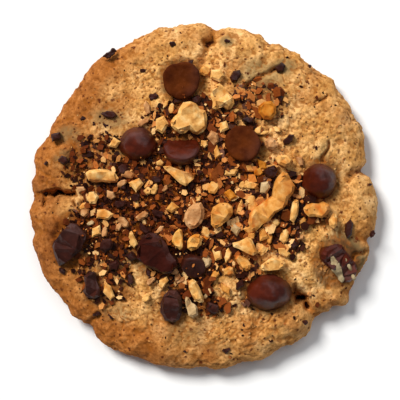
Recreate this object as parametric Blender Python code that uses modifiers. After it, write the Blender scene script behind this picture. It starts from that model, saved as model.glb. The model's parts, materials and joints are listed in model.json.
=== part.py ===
"""Chocolate chip cookie with chopped nuts, about 85 mm across.

The dough is one baked solid with its cracks and uneven rim as relief. The chips, chunks and large nut
pieces are solids of their own, each set in a pocket of the dough. Small nut and chocolate pieces are
fused to the dough. Lengths are in millimetres here, and MM turns them into metres.
"""
import math
import random

import bmesh
import bpy
from mathutils import Matrix, Vector, noise

MM = 0.001

# The dough
RIM_RADIUS = 42.5
MIDDLE_HEIGHT = 11.2
SHOULDER_HEIGHT = 8.0
WIDEST_HEIGHT = 3.8
SHOULDER_INSET = 6.5
FOOT_INSET = 2.6
BASE_SINK = 0.35
LUMP_SPACING = 7.5
LUMP_HEIGHT = 0.55
CRAG_SPACING = 3.6
CRAG_HEIGHT = 0.34

# Levels of the noise at which the lumps, the crags and the wandering of the cracks are read
LUMP_LEVEL = 3.0
CRAG_LEVEL = 40.0
WANDER_LEVELS = (60.0, 80.0)

# How often the ball's faces are split, and the share of its triangles that the dough keeps
DOUGH_FINENESS = 7
DOUGH_KEPT = 0.045

# Shares of the dough's skin given to its top and to its rim; the rest is the base
TOP_SHARE = 0.62
RIM_SHARE = 0.2

# Clearance of the toppings from the dough, and the most that a pocket's sharp corner widens it
GAP = 0.34
CORNER_WIDENING = 1.6

# Neighbouring facets of the finished dough become one below this angle
DOUGH_FACET_ANGLE = math.radians(2)

# A chip is turned from a profile: foot height as a share of its height, steps up the dome, steps round, and
# how blunt its shoulder and its tip are
CHIP_FOOT = 0.1
CHIP_DOME_STEPS = 5
CHIP_ROUND_STEPS = 12
CHIP_SHOULDER_POWER = 0.85
CHIP_TIP_POWER = 1.15

# The chip's underside, as shares of its width and of its height, from the worn rim to the hollow middle
CHIP_UNDERSIDE = [(0.46, 0.02), (0.40, 0.0), (0.0, 0.03)]
CHIP_MIDDLE = 0.45

# A broken piece: how much narrower its foot is, how far its top slopes and is uneven, and how far its rim is
# worn, the last three as shares of its height
SHARD_FOOT = 0.86
SHARD_SLOPE = 0.10
SHARD_UNEVEN = 0.10
SHARD_WEAR = 0.22
SHARD_SEED = 100

# A small piece has this many corners, each this far out as a share of its size, and leans up to this angle
BIT_CORNERS = (4, 6)
BIT_REACH = (0.46, 0.56)
BIT_WANDER = 0.22
BIT_HEIGHT = 0.8
BIT_LIFT = 0.25
BIT_LEAN = 14
BIT_SEED = 400

# Swells and dips of the rim: angle, half width of its stretch, both in degrees, and how far it swells
RIM_SWELLS = [
    (56, 44, -0.8),
    (42, 4, 0.7),
    (67, 4, -0.9),
    (80, 4, -0.6),
    (85.5, 4.5, -1.3),
    (8, 4, -0.6),
    (28, 4, -0.6),
    (92, 4, 0.5),
    (101, 4, -0.5),
    (104, 14, 0.7),
    (128, 48, -1.05),
    (128, 12, 0.8),
    (141, 9, -0.5),
    (150, 14, -0.9),
    (160, 6, -1.0),
    (167, 8, 0.5),
    (172, 4, -0.7),
    (180, 5, -0.7),
    (186, 3, 0.5),
    (192, 3, -0.7),
    (204, 26, 1.35),
    (222, 4, 0.7),
    (229, 3, -1.0),
    (237, 17, 1.3),
    (255, 8, 0.4),
    (269, 5, -0.9),
    (275, 34, 0.3),
    (283, 7, -0.7),
    (298, 9, -0.5),
    (313, 8, -1.9),
    (323, 4, 1.6),
    (339, 8, 0.8),
    (320, 3, -0.7),
    (345, 3, -1.2),
    (354, 8, 0.3),
    (12, 14, -1.8),
    (9, 3, -1.4),
]

# Cracks and valleys of the top: both ends, half width and depth
CRACKS = [
    ((-43.0, 1.2), (-37.3, 0.4), 1.1, 1.1),
    ((-38.6, 0.1), (-35.0, 0.7), 1.3, 2.0),
    ((-36.0, 0.7), (-31.6, 0.4), 1.4, 2.9),
    ((-39.2, -1.8), (-38.9, 0.2), 1.1, 1.6),
    ((-32.6, -0.2), (-31.4, -2.6), 1.1, 1.3),
    ((2.6, 43.0), (1.4, 37.6), 2.6, 1.4),
    ((1.6, 38.6), (-0.5, 33.0), 1.9, 1.2),
    ((5.0, 41.2), (3.6, 38.4), 1.1, 0.7),
    ((22.8, -23.4), (23.6, -25.2), 2.0, 4.4),
    ((23.6, -25.0), (25.4, -27.6), 1.6, 3.4),
    ((25.2, -27.4), (29.2, -30.2), 1.9, 2.0),
    ((18.6, 31.6), (10.6, 26.6), 1.3, 1.1),
    ((29.9, 24.9), (27.6, 22.4), 0.8, 0.8),
    ((29.8, 12.6), (29.0, 8.4), 0.9, 1.0),
    ((41.5, 7.6), (35.4, 4.9), 1.7, 0.8),
    ((42.0, -13.0), (36.6, -15.0), 1.3, 1.2),
    ((-30.0, -33.0), (-26.0, -29.0), 1.5, 0.9),
]

# Cracks wander to either side of their lines, in waves of this spacing
CRACK_WANDER = 1.1
CRACK_WAVES = 2.6

# Mounds of the top: middle, half lengths along x and y, and height
MOUNDS = [
    ((26.5, -17.0), (7.0, 6.0), 0.9),
    ((20.5, -31.5), (6.5, 4.0), 0.9),
    ((-36.0, -5.5), (5.5, 6.0), 0.9),
    ((-36.0, 7.0), (5.0, 5.0), 0.5),
    ((-33.8, 11.4), (2.6, 2.2), 0.9),
    ((31.0, 19.5), (9.0, 8.0), 0.8),
    ((9.5, 36.0), (7.0, 5.5), 0.6),
    ((-6.5, 36.0), (7.0, 6.0), 0.6),
    ((-9.0, -35.0), (9.0, 6.0), 0.5),
    ((11.0, -34.5), (8.0, 6.0), 0.5),
    ((37.5, -2.5), (5.0, 7.5), 0.7),
]

# Chips: name, place, lengths along x and y, height, how high the middle sits over the dough, lean from base
# down, and heading
CHIPS = [
    ("chip_top", (-5.4, 28.0), 8.8, 9.1, 5.4, 0.5, 176, 60),
    ("chip_left", (-15.6, 12.1), 9.3, 8.5, 5.6, 0.9, 16, -40),
    ("chip_middle", (-5.3, 10.5), 8.8, 8.8, 4.4, -0.3, 134, -88),
    ("chip_inner_right", (9.4, 12.4), 8.5, 9.0, 5.4, 0.6, 170, -70),
    ("chip_right", (28.1, 3.9), 8.8, 9.0, 6.8, 1.2, 14, 40),
    ("chip_lower_right", (15.2, -23.2), 11.4, 8.8, 6.2, 1.1, 12, 170),
    ("chip_broken", (-2.9, -16.6), 5.4, 6.2, 4.2, 0.6, 150, 120),
]

# Chunks of broken chocolate: name, height, how high the middle sits over the dough, lean, the way it leans,
# and outline seen from above
CHUNKS = [
    ("chip_lower_left", 3.6, 0.6, 8, 200, [
        (-29.0, -19.2), (-27.5, -18.2), (-26.3, -18.2), (-25.8, -20.4), (-25.1, -22.6), (-25.1, -24.3),
        (-26.5, -25.1), (-28.0, -24.6), (-29.2, -23.3), (-28.7, -21.4),
    ]),
    ("chip_lower", 4.8, 1.3, 14, 228, [
        (-15.6, -10.9), (-14.3, -9.2), (-13.2, -8.5), (-11.5, -8.6), (-10.0, -9.9), (-8.5, -11.6),
        (-8.0, -13.4), (-6.2, -15.2), (-6.1, -16.8), (-7.2, -18.2), (-9.6, -18.7), (-12.0, -17.8),
        (-14.5, -16.6), (-16.1, -15.0), (-16.2, -12.8),
    ]),
    ("chip_bottom", 4.4, 1.1, 12, 250, [
        (-8.5, -22.5), (-6.6, -22.3), (-5.4, -23.9), (-5.1, -26.0), (-5.2, -28.2), (-6.0, -30.0),
        (-7.5, -30.7), (-9.4, -30.0), (-10.6, -27.9), (-10.5, -25.3), (-9.6, -23.5),
    ]),
    ("chunk_left", 5.0, 1.0, 12, 230, [
        (-32.0, -6.1), (-30.5, -6.5), (-29.0, -8.0), (-28.1, -9.0), (-28.2, -10.4), (-29.0, -11.5),
        (-29.7, -13.1), (-31.6, -14.8), (-33.6, -16.2), (-35.3, -17.3), (-36.3, -14.9), (-37.0, -12.3),
        (-36.2, -10.7), (-34.5, -8.7), (-33.2, -7.3),
    ]),
    ("chunk_left_crumb", 3.0, 0.6, 8, 15, [
        (-25.3, -11.5), (-24.1, -10.3), (-22.6, -10.3), (-21.9, -11.5), (-22.4, -13.0), (-24.1, -13.8),
        (-25.3, -13.0),
    ]),
    ("chunk_right_rim", 4.4, -0.9, 24, -27, [
        (27.3, -13.6), (28.0, -12.1), (29.8, -11.7), (31.5, -11.1), (33.0, -11.5), (34.2, -13.3),
        (35.4, -14.5), (36.6, -16.2), (37.3, -18.0), (36.9, -19.8), (35.4, -21.2), (33.8, -21.2),
        (32.4, -20.0), (31.4, -18.7), (29.8, -17.4), (28.5, -16.2), (27.5, -15.0),
    ]),
    ("chunk_bottom", 2.8, 0.9, 10, -60, [
        (0.9, -25.5), (2.0, -25.8), (3.4, -26.3), (3.7, -28.3), (2.5, -28.5), (0.8, -27.7), (0.2, -26.8),
    ]),
    ("chunk_upper", 2.6, 0.9, 10, 20, [
        (8.9, 18.4), (10.3, 19.2), (12.0, 18.8), (12.1, 17.4), (10.7, 17.4), (9.4, 17.5),
    ]),
]

# Large nut pieces: name, height, how high the middle sits over the dough, lean, the way it leans, and outline
NUTS = [
    ("nut_lobed", 4.2, 1.1, 5, 10, [
        (-5.2, 22.6), (-3.4, 22.9), (-2.0, 22.4), (-1.0, 21.1), (0.4, 20.6), (0.8, 19.2), (0.7, 16.4),
        (-0.2, 15.2), (-1.6, 14.6), (-2.7, 14.9), (-3.7, 15.8), (-4.7, 15.0), (-5.9, 14.8), (-7.1, 15.5),
        (-8.1, 16.6), (-8.3, 17.7), (-7.6, 18.9), (-6.6, 19.7), (-6.3, 21.0),
    ]),
    ("nut_heart", 3.8, 0.9, 6, 65, [
        (2.1, 25.8), (2.7, 26.8), (3.7, 27.2), (4.9, 26.0), (5.9, 24.8), (7.1, 23.6), (7.4, 22.1),
        (6.6, 20.9), (5.7, 20.6), (4.7, 21.4), (3.7, 21.1), (2.9, 20.6), (1.9, 20.9), (1.9, 22.6),
        (1.4, 23.8), (1.7, 25.0),
    ]),
    ("nut_bar", 4.4, 1.3, 5, -40, [
        (17.9, 5.2), (18.9, 6.1), (20.1, 5.7), (20.9, 4.2), (21.9, 2.5), (21.5, 0.6), (20.3, -0.5),
        (20.0, -2.0), (18.9, -3.2), (17.0, -4.2), (15.7, -5.9), (14.0, -6.9), (12.5, -8.5), (11.1, -8.5),
        (10.3, -6.6), (10.6, -4.4), (11.8, -2.9), (13.5, -2.0), (15.0, -0.7), (16.4, 0.0), (16.6, 2.0),
        (17.0, 3.7),
    ]),
    ("nut_wedge", 4.2, 1.3, 10, 200, [
        (2.2, -2.5), (3.9, -1.5), (5.9, -1.5), (7.1, -2.5), (7.1, -4.2), (6.1, -5.7), (4.4, -7.1),
        (2.7, -8.1), (1.7, -6.9), (1.7, -3.9),
    ]),
    ("nut_brown", 3.8, 1.0, 6, 180, [
        (-4.4, -3.9), (-3.4, -2.5), (-2.0, -1.7), (-0.5, -1.5), (0.2, -2.9), (0.2, -5.2), (-0.5, -6.6),
        (-1.7, -7.7), (-3.3, -8.2), (-4.3, -7.1), (-5.0, -5.7),
    ]),
    ("nut_yellow", 3.4, 1.4, 8, 20, [
        (-4.2, -11.0), (-3.6, -9.9), (-2.5, -9.2), (-1.2, -9.2), (-0.5, -10.1), (-0.7, -11.8),
        (-1.7, -12.8), (-3.2, -13.3), (-4.1, -12.6),
    ]),
    ("nut_orange_lower", 3.2, 1.3, 8, 180, [
        (-7.6, -10.1), (-6.9, -8.8), (-5.9, -7.7), (-5.2, -8.1), (-5.1, -10.1), (-5.0, -12.4), (-5.7, -13.0),
        (-6.9, -12.0), (-7.6, -11.1),
    ]),
    ("nut_pebble_upper", 3.2, 1.2, 8, 30, [
        (6.6, -11.3), (8.6, -10.8), (10.3, -9.8), (11.3, -10.3), (12.0, -12.0), (12.8, -13.7), (11.8, -14.5),
        (10.1, -13.9), (8.4, -12.9), (6.9, -12.3),
    ]),
    ("nut_pebble_lower", 3.2, 1.0, 8, 200, [
        (7.9, -14.2), (8.6, -14.2), (10.7, -15.2), (11.5, -16.5), (11.2, -17.7), (10.3, -18.2), (9.3, -17.4),
        (8.1, -16.2), (7.5, -15.1),
    ]),
    ("nut_curved", 3.0, 1.2, 6, 10, [
        (13.5, -16.7), (14.5, -16.0), (15.5, -15.2), (17.0, -15.0), (18.7, -15.2), (19.7, -16.2),
        (19.4, -17.4), (17.9, -17.8), (15.7, -18.0), (14.2, -18.1), (13.5, -17.6),
    ]),
    ("nut_right", 3.6, 1.1, 8, -80, [
        (23.8, -2.9), (24.6, -2.1), (26.0, -1.6), (27.8, -1.8), (29.2, -1.3), (30.2, -2.0), (30.4, -3.2),
        (29.6, -4.4), (28.5, -5.4), (26.8, -4.9), (25.1, -4.9), (24.1, -3.9),
    ]),
    ("nut_right_oval", 2.8, 1.0, 6, 80, [
        (30.8, -4.7), (31.4, -4.0), (32.1, -4.9), (32.1, -7.1), (31.4, -8.1), (30.4, -7.4), (30.1, -5.9),
    ]),
    ("nut_flat_left", 3.0, 1.1, 10, -90, [
        (-28.7, 5.7), (-27.8, 6.4), (-25.6, 6.6), (-23.1, 6.4), (-21.4, 5.7), (-20.4, 4.4), (-20.9, 3.3),
        (-22.6, 3.2), (-24.6, 3.5), (-26.5, 3.4), (-28.0, 3.9),
    ]),
    ("nut_triangle", 3.2, 0.9, 7, 60, [
        (-10.0, 7.0), (-8.4, 7.2), (-6.6, 6.4), (-4.9, 5.8), (-3.2, 5.5), (-1.7, 5.5), (-2.5, 3.9),
        (-3.7, 2.9), (-4.4, 2.2), (-5.7, 2.7), (-7.1, 4.0), (-8.6, 5.4), (-9.6, 6.2),
    ]),
    ("nut_orange_upper", 3.4, 0.7, 6, 80, [
        (13.0, 21.6), (14.3, 22.6), (16.2, 22.9), (17.4, 21.6), (17.4, 19.7), (16.2, 18.2), (14.3, 18.4),
        (13.0, 19.9),
    ]),
    ("nut_upper_right", 3.2, 0.9, 8, 15, [
        (16.9, 9.1), (18.0, 9.8), (19.9, 9.8), (21.4, 8.8), (20.9, 7.4), (19.4, 6.9), (17.7, 7.7),
    ]),
    ("nut_brown_upper", 3.0, 0.6, 6, 95, [
        (14.6, 13.3), (15.7, 14.3), (17.2, 13.5), (17.8, 12.0), (16.7, 10.8), (15.3, 11.3), (14.6, 12.1),
    ]),
    ("nut_thin", 3.0, 1.1, 6, 0, [
        (21.2, -1.5), (21.8, -0.8), (22.6, -0.9), (22.8, -2.7), (22.4, -4.7), (21.5, -6.6), (20.5, -5.9),
        (20.8, -3.4),
    ]),
    ("nut_pale_upper", 3.2, 1.5, 8, -30, [
        (-3.9, -20.4), (-2.9, -19.8), (-2.0, -20.4), (-1.0, -22.4), (-0.2, -24.3), (0.0, -25.6),
        (-1.2, -25.7), (-2.4, -25.0), (-3.1, -23.8), (-3.8, -22.1),
    ]),
    ("nut_pale_lower", 3.2, 1.2, 8, 100, [
        (-4.4, -24.3), (-3.6, -24.6), (-3.0, -25.7), (-2.0, -26.4), (-1.4, -27.2), (-1.4, -28.9),
        (-2.6, -29.6), (-3.7, -29.2), (-4.2, -27.2), (-4.6, -25.5),
    ]),
]

# Small pieces fused to the dough, placed by hand: place, length, width and turn
PLACED_BITS = [
    ((3.3, 29.2), 4.0, 3.4, -10),
    ((-10.3, 17.2), 4.6, 3.4, 70),
    ((4.7, 16.7), 3.4, 2.8, 60),
    ((14.7, 2.0), 3.8, 2.7, 70),
    ((6.6, 5.9), 3.6, 2.5, 10),
    ((11.8, -2.5), 3.5, 2.7, 80),
    ((8.6, -2.9), 4.6, 1.9, 75),
    ((7.6, -8.1), 3.4, 2.5, 100),
    ((3.2, -13.5), 5.0, 2.5, 100),
    ((0.5, -16.0), 3.5, 2.7, 80),
    ((-9.8, -20.9), 3.8, 2.2, 70),
    ((-23.1, -23.1), 4.7, 2.4, 115),
    ((-17.4, -10.6), 4.4, 2.1, 110),
    ((-27.0, -0.5), 3.5, 2.9, 70),
    ((-24.1, -4.4), 4.7, 2.7, -5),
    ((2.0, 5.7), 3.9, 2.5, 75),
    ((6.4, 0.2), 3.4, 2.8, -15),
    ((2.2, 2.0), 3.9, 2.8, 60),
    ((-7.6, -2.9), 3.9, 2.8, 5),
    ((19.4, -9.8), 3.4, 2.4, 80),
    ((-21.6, -16.7), 3.4, 2.9, 80),
    ((7.6, 29.0), 3.6, 2.6, 60),
    ((18.2, 24.3), 4.4, 2.0, 100),
    ((35.1, -7.9), 4.7, 2.2, 80),
    ((-22.9, 19.7), 4.4, 1.9, -10),
    ((-35.9, 14.4), 3.0, 2.6, 60),
    ((-34.2, 8.7), 2.8, 2.2, -20),
    ((18.7, 31.2), 2.9, 2.5, 20),
]

# Small pieces fused to the dough, spread by a rule over the middle
SPREAD_MIDDLE = (-2.0, -0.5)
SPREAD_HALF_LENGTHS = (28.0, 24.0)
SPREAD_SEED = 11
SPREAD_COUNT = 60
SPREAD_TRIES = 3000
SPREAD_LARGEST = 4.0
SPREAD_SMALLEST = 2.0
SPREAD_WIDTHS = (0.45, 0.85)
SPREAD_REACH = 0.42

DOUGH_COLOUR = (0.60, 0.33, 0.12)
CHOCOLATE_COLOUR = (0.07, 0.022, 0.010)
NUT_COLOUR = (0.66, 0.40, 0.15)


def bell(t):
    """1 in the middle, falling smoothly to 0 at one half width away."""
    if abs(t) >= 1:
        return 0.0
    return 0.5 + 0.5 * math.cos(math.pi * t)


def rim_radius(angle):
    """Distance from the middle to the rim, for an angle in radians."""
    radius = RIM_RADIUS
    for at, half_width, swell in RIM_SWELLS:
        away = (math.degrees(angle) - at + 180) % 360 - 180
        radius += swell * bell(away / half_width)
    return radius


def distance_to_line(x, y, start, end):
    """Distance in plan from a point to the stretch between two points."""
    run = Vector(end) - Vector(start)
    along = (Vector((x, y)) - Vector(start)).dot(run) / run.length_squared
    nearest = Vector(start) + run * min(max(along, 0.0), 1.0)
    return (Vector((x, y)) - nearest).length


def relief(x, y):
    """Cracks, mounds, lumps and crags of the dough at a place, as a height over its plain dome."""
    height = 0.0
    wandered_x = x + CRACK_WANDER * noise.noise(Vector((x, y, WANDER_LEVELS[0])) / CRACK_WAVES)
    wandered_y = y + CRACK_WANDER * noise.noise(Vector((x, y, WANDER_LEVELS[1])) / CRACK_WAVES)
    for start, end, half_width, depth in CRACKS:
        height -= depth * bell(distance_to_line(wandered_x, wandered_y, start, end) / half_width)
    for (at_x, at_y), (half_x, half_y), rise in MOUNDS:
        height += rise * bell(math.hypot((x - at_x) / half_x, (y - at_y) / half_y))
    lumps = noise.noise(Vector((x, y, LUMP_LEVEL)) / LUMP_SPACING)
    crags = noise.noise(Vector((x, y, CRAG_LEVEL)) / CRAG_SPACING)
    return height + LUMP_HEIGHT * lumps + CRAG_HEIGHT * crags


def dome_height(share):
    """Height of the plain top at a share of the way from the middle to the shoulder."""
    return SHOULDER_HEIGHT + (MIDDLE_HEIGHT - SHOULDER_HEIGHT) * (1 - share**2)


def top_height(x, y):
    """Height of the dough's top at a place inside its shoulder."""
    shoulder = rim_radius(math.atan2(y, x)) - SHOULDER_INSET
    share = min(math.hypot(x, y) / shoulder, 1.0)
    return dome_height(share) + relief(x, y)


def on_dough(direction):
    """Place on the dough's skin that answers to a direction on a ball: top, then rim, then base."""
    angle = math.atan2(direction.y, direction.x)
    rim = rim_radius(angle)
    passed = (1 - direction.z) / 2
    outward = Vector((math.cos(angle), math.sin(angle), 0))
    if passed < TOP_SHARE:
        share = math.sqrt(passed / TOP_SHARE)
        at = outward * share * (rim - SHOULDER_INSET)
        return at + Vector((0, 0, dome_height(share) + relief(at.x, at.y)))
    if passed < TOP_SHARE + RIM_SHARE:
        turn = math.pi * (passed - TOP_SHARE) / RIM_SHARE
        upper = turn < math.pi / 2
        inset = SHOULDER_INSET if upper else FOOT_INSET
        reach = SHOULDER_HEIGHT - WIDEST_HEIGHT if upper else WIDEST_HEIGHT + BASE_SINK
        at = outward * (rim - inset * (1 - math.sin(turn)))
        lift = Vector((0, 0, WIDEST_HEIGHT + reach * math.cos(turn)))
        facing = outward * math.sin(turn) + Vector((0, 0, math.cos(turn)))
        crags = CRAG_HEIGHT * noise.noise((at + lift) / CRAG_SPACING)
        fade = max(math.cos(turn), 0.0)
        return at + lift + facing * crags * (1 - fade) + Vector((0, 0, relief(at.x, at.y) * fade))
    share = math.sqrt(max(direction.z + 1, 0.0) / 2 / (1 - TOP_SHARE - RIM_SHARE))
    return outward * share * (rim - FOOT_INSET) + Vector((0, 0, -BASE_SINK))


def add_object(name, bm, collection):
    """Put a mesh that was made in millimetres into a collection, as an object in metres."""
    bmesh.ops.scale(bm, vec=(MM, MM, MM), verts=bm.verts)
    bmesh.ops.recalc_face_normals(bm, faces=bm.faces)
    mesh = bpy.data.meshes.new(name)
    bm.to_mesh(mesh)
    bm.free()
    made = bpy.data.objects.new(name, mesh)
    collection.objects.link(made)
    return made


def new_collection(name):
    collection = bpy.data.collections.new(name)
    bpy.context.scene.collection.children.link(collection)
    return collection


def apply_modifiers(target):
    """Replace an object's mesh with what its modifiers make of it."""
    depsgraph = bpy.context.evaluated_depsgraph_get()
    finished = bpy.data.meshes.new_from_object(target.evaluated_get(depsgraph))
    target.modifiers.clear()
    target.data = finished


def combine(target, operands, operation):
    """Join a collection's objects to the target, or cut them from it, and remove them."""
    boolean = target.modifiers.new(operation.lower(), "BOOLEAN")
    boolean.operation = operation
    boolean.operand_type = "COLLECTION"
    boolean.collection = operands
    boolean.solver = "EXACT"
    apply_modifiers(target)
    for used in list(operands.objects):
        bpy.data.objects.remove(used)
    bpy.data.collections.remove(operands)


def keep_largest_shell(target):
    """Drop loose scraps and sealed hollows, and leave the one outer skin."""
    bm = bmesh.new()
    bm.from_mesh(target.data)
    unseen = set(bm.verts)
    shells = []
    while unseen:
        shell = set()
        edge_of_shell = [unseen.pop()]
        while edge_of_shell:
            vert = edge_of_shell.pop()
            shell.add(vert)
            near = {edge.other_vert(vert) for edge in vert.link_edges} & unseen
            unseen -= near
            edge_of_shell.extend(near)
        shells.append(shell)
    shells.sort(key=len)
    for shell in shells[:-1]:
        bmesh.ops.delete(bm, geom=list(shell), context="VERTS")
    bmesh.ops.dissolve_limit(bm, angle_limit=DOUGH_FACET_ANGLE, verts=bm.verts, edges=bm.edges)
    bmesh.ops.triangulate(bm, faces=bm.faces)
    bm.to_mesh(target.data)
    bm.free()


def finish(target, colour, roughness, smooth_angle=None):
    """Give an object a material of its own and shade its rounded faces smooth."""
    material = bpy.data.materials.new(target.name)
    material.use_nodes = True
    shader = material.node_tree.nodes["Principled BSDF"]
    shader.inputs["Base Color"].default_value = (*colour, 1)
    shader.inputs["Roughness"].default_value = roughness
    shader.inputs["Metallic"].default_value = 0
    target.data.materials.clear()
    target.data.materials.append(material)
    if smooth_angle:
        target.data.shade_smooth()
        target.data.set_sharp_from_angle(angle=math.radians(smooth_angle))


def placed(place, lift, heading, lean):
    """Transform that sets a piece on the dough and leans it down towards a heading, all angles in degrees."""
    at = Vector((*place, top_height(*place) + lift))
    facing = Matrix.Rotation(math.radians(heading), 4, "Z")
    return Matrix.Translation(at) @ facing @ Matrix.Rotation(math.radians(lean), 4, "Y") @ facing.inverted()


def make_dough(collection):
    """Bake the bare dough: a ball spread to the cookie's form, thinned, with a flat base at z = 0."""
    bm = bmesh.new()
    bmesh.ops.create_icosphere(bm, subdivisions=DOUGH_FINENESS, radius=1.0)
    for vert in bm.verts:
        vert.co = on_dough(vert.co.copy())
    dough = add_object("dough", bm, collection)
    thin = dough.modifiers.new("thin", "DECIMATE")
    thin.ratio = DOUGH_KEPT
    apply_modifiers(dough)
    bm = bmesh.new()
    bm.from_mesh(dough.data)
    everything = bm.verts[:] + bm.edges[:] + bm.faces[:]
    cut = bmesh.ops.bisect_plane(bm, geom=everything, plane_no=(0, 0, -1), clear_outer=True)
    rim = [edge for edge in cut["geom_cut"] if isinstance(edge, bmesh.types.BMEdge)]
    bmesh.ops.edgeloop_fill(bm, edges=rim)
    bmesh.ops.recalc_face_normals(bm, faces=bm.faces)
    bm.to_mesh(dough.data)
    bm.free()
    return dough


def chip_mesh(length, width, height, collection):
    """Turned chocolate chip, base at the bottom: a rounded foot under a dome with a soft tip."""
    foot = CHIP_FOOT * height
    profile = [(0.0, height)]
    for step in range(1, CHIP_DOME_STEPS + 1):
        turn = math.pi / 2 * step / CHIP_DOME_STEPS
        reach = length / 2 * math.sin(turn) ** CHIP_SHOULDER_POWER
        profile.append((reach, foot + (height - foot) * math.cos(turn) ** CHIP_TIP_POWER))
    profile += [(across * length, up * height) for across, up in CHIP_UNDERSIDE]
    mesh = bpy.data.meshes.new("profile")
    points = [(x * MM, 0, z * MM) for x, z in profile]
    mesh.from_pydata(points, [(i, i + 1) for i in range(len(points) - 1)], [])
    turned = bpy.data.objects.new("profile", mesh)
    collection.objects.link(turned)
    screw = turned.modifiers.new("turn", "SCREW")
    screw.steps = CHIP_ROUND_STEPS
    screw.render_steps = CHIP_ROUND_STEPS
    screw.use_merge_vertices = True
    screw.merge_threshold = 0.00005
    apply_modifiers(turned)
    bm = bmesh.new()
    bm.from_mesh(turned.data)
    bpy.data.objects.remove(turned)
    bmesh.ops.scale(bm, vec=(1 / MM, width / length / MM, 1 / MM), verts=bm.verts)
    bmesh.ops.translate(bm, vec=(0, 0, -CHIP_MIDDLE * height), verts=bm.verts)
    return bm


def outline_middle(outline):
    """Mean place of an outline's corners."""
    return tuple(sum(values) / len(outline) for values in zip(*outline))


def shard_mesh(outline, height, rng):
    """Broken piece: its outline seen from above, drawn up to a sloping, uneven top with a worn rim."""
    middle_x, middle_y = outline_middle(outline)
    bm = bmesh.new()
    corners = [bm.verts.new((x - middle_x, y - middle_y, 0)) for x, y in outline]
    foot = bm.faces.new(corners)
    drawn = bmesh.ops.extrude_face_region(bm, geom=[foot])
    top = [item for item in drawn["geom"] if isinstance(item, bmesh.types.BMVert)]
    across = max(max(abs(vert.co.x), abs(vert.co.y)) for vert in top)
    slope = [rng.uniform(-SHARD_SLOPE, SHARD_SLOPE) * height / across for axis in range(2)]
    for vert in top:
        uneven = rng.uniform(-SHARD_UNEVEN, SHARD_UNEVEN) * height
        vert.co.z = height / 2 + slope[0] * vert.co.x + slope[1] * vert.co.y + uneven
    bmesh.ops.scale(bm, vec=(SHARD_FOOT, SHARD_FOOT, 1), verts=corners)
    bmesh.ops.translate(bm, vec=(0, 0, -height / 2), verts=corners)
    bmesh.ops.recalc_face_normals(bm, faces=bm.faces)
    rim = [edge for edge in bm.edges if all(vert in top for vert in edge.verts)]
    bmesh.ops.bevel(
        bm, geom=rim, offset=SHARD_WEAR * height, segments=1, profile=0.5, affect="EDGES", material=-1,
        clamp_overlap=True
    )
    return bm


def bit_outline(length, width, rng):
    """Corners of a small piece about its middle, at uneven angles and distances."""
    corners = rng.randint(*BIT_CORNERS)
    outline = []
    for corner in range(corners):
        angle = 2 * math.pi * (corner + rng.uniform(-BIT_WANDER, BIT_WANDER)) / corners
        reach = rng.uniform(*BIT_REACH)
        outline.append((length * reach * math.cos(angle), width * reach * math.sin(angle)))
    return outline


def add_topping(name, bm, transform, toppings, pockets):
    """Place a piece, and beside it the slightly larger form that cuts its pocket."""
    bmesh.ops.transform(bm, matrix=transform, verts=bm.verts)
    bmesh.ops.triangulate(bm, faces=bm.faces)
    bmesh.ops.recalc_face_normals(bm, faces=bm.faces)
    pocket = bm.copy()
    pocket.normal_update()
    moves = [vert.normal * GAP * min(vert.calc_shell_factor(), CORNER_WIDENING) for vert in pocket.verts]
    for vert, move in zip(pocket.verts, moves):
        vert.co += move
    add_object(name + "_pocket", pocket, pockets)
    return add_object(name, bm, toppings)


def make_toppings(toppings, pockets):
    """Chips, chunks and large nut pieces, each in a node of its own."""
    for name, place, length, width, height, lift, lean, heading in CHIPS:
        transform = placed(place, lift, heading, lean)
        chip = add_topping(name, chip_mesh(length, width, height, toppings), transform, toppings, pockets)
        finish(chip, CHOCOLATE_COLOUR, 0.4, 40)
    for index, (name, height, lift, lean, heading, outline) in enumerate(CHUNKS + NUTS):
        transform = placed(outline_middle(outline), lift, heading, lean)
        shard = shard_mesh(outline, height, random.Random(SHARD_SEED + index))
        topping = add_topping(name, shard, transform, toppings, pockets)
        if index < len(CHUNKS):
            finish(topping, CHOCOLATE_COLOUR, 0.35)
        else:
            finish(topping, NUT_COLOUR, 0.6)


def outline_reach(outline):
    """Half the longer side of the box that an outline fills."""
    return max(max(values) - min(values) for values in zip(*outline)) / 2


def spread_bits():
    """Places and sizes of the spread pieces, the largest first and none on another."""
    rng = random.Random(SPREAD_SEED)
    taken = [(place, length / 2) for place, length, width, turn in PLACED_BITS]
    taken += [(place, SPREAD_REACH * length) for name, place, length, *rest in CHIPS]
    for name, height, lift, lean, heading, outline in CHUNKS + NUTS:
        taken.append((outline_middle(outline), 2 * SPREAD_REACH * outline_reach(outline)))
    spread = []
    for attempt in range(SPREAD_TRIES):
        if len(spread) == SPREAD_COUNT:
            break
        size = SPREAD_LARGEST + (SPREAD_SMALLEST - SPREAD_LARGEST) * len(spread) / SPREAD_COUNT
        angle = rng.uniform(0, 2 * math.pi)
        out = math.sqrt(rng.random())
        x = SPREAD_MIDDLE[0] + SPREAD_HALF_LENGTHS[0] * out * math.cos(angle)
        y = SPREAD_MIDDLE[1] + SPREAD_HALF_LENGTHS[1] * out * math.sin(angle)
        clear = all(math.dist((x, y), place) > reach + SPREAD_REACH * size for place, reach in taken)
        if clear:
            taken.append(((x, y), SPREAD_REACH * size))
            spread.append(((x, y), size, size * rng.uniform(*SPREAD_WIDTHS), rng.uniform(0, 180)))
    return spread


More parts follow.
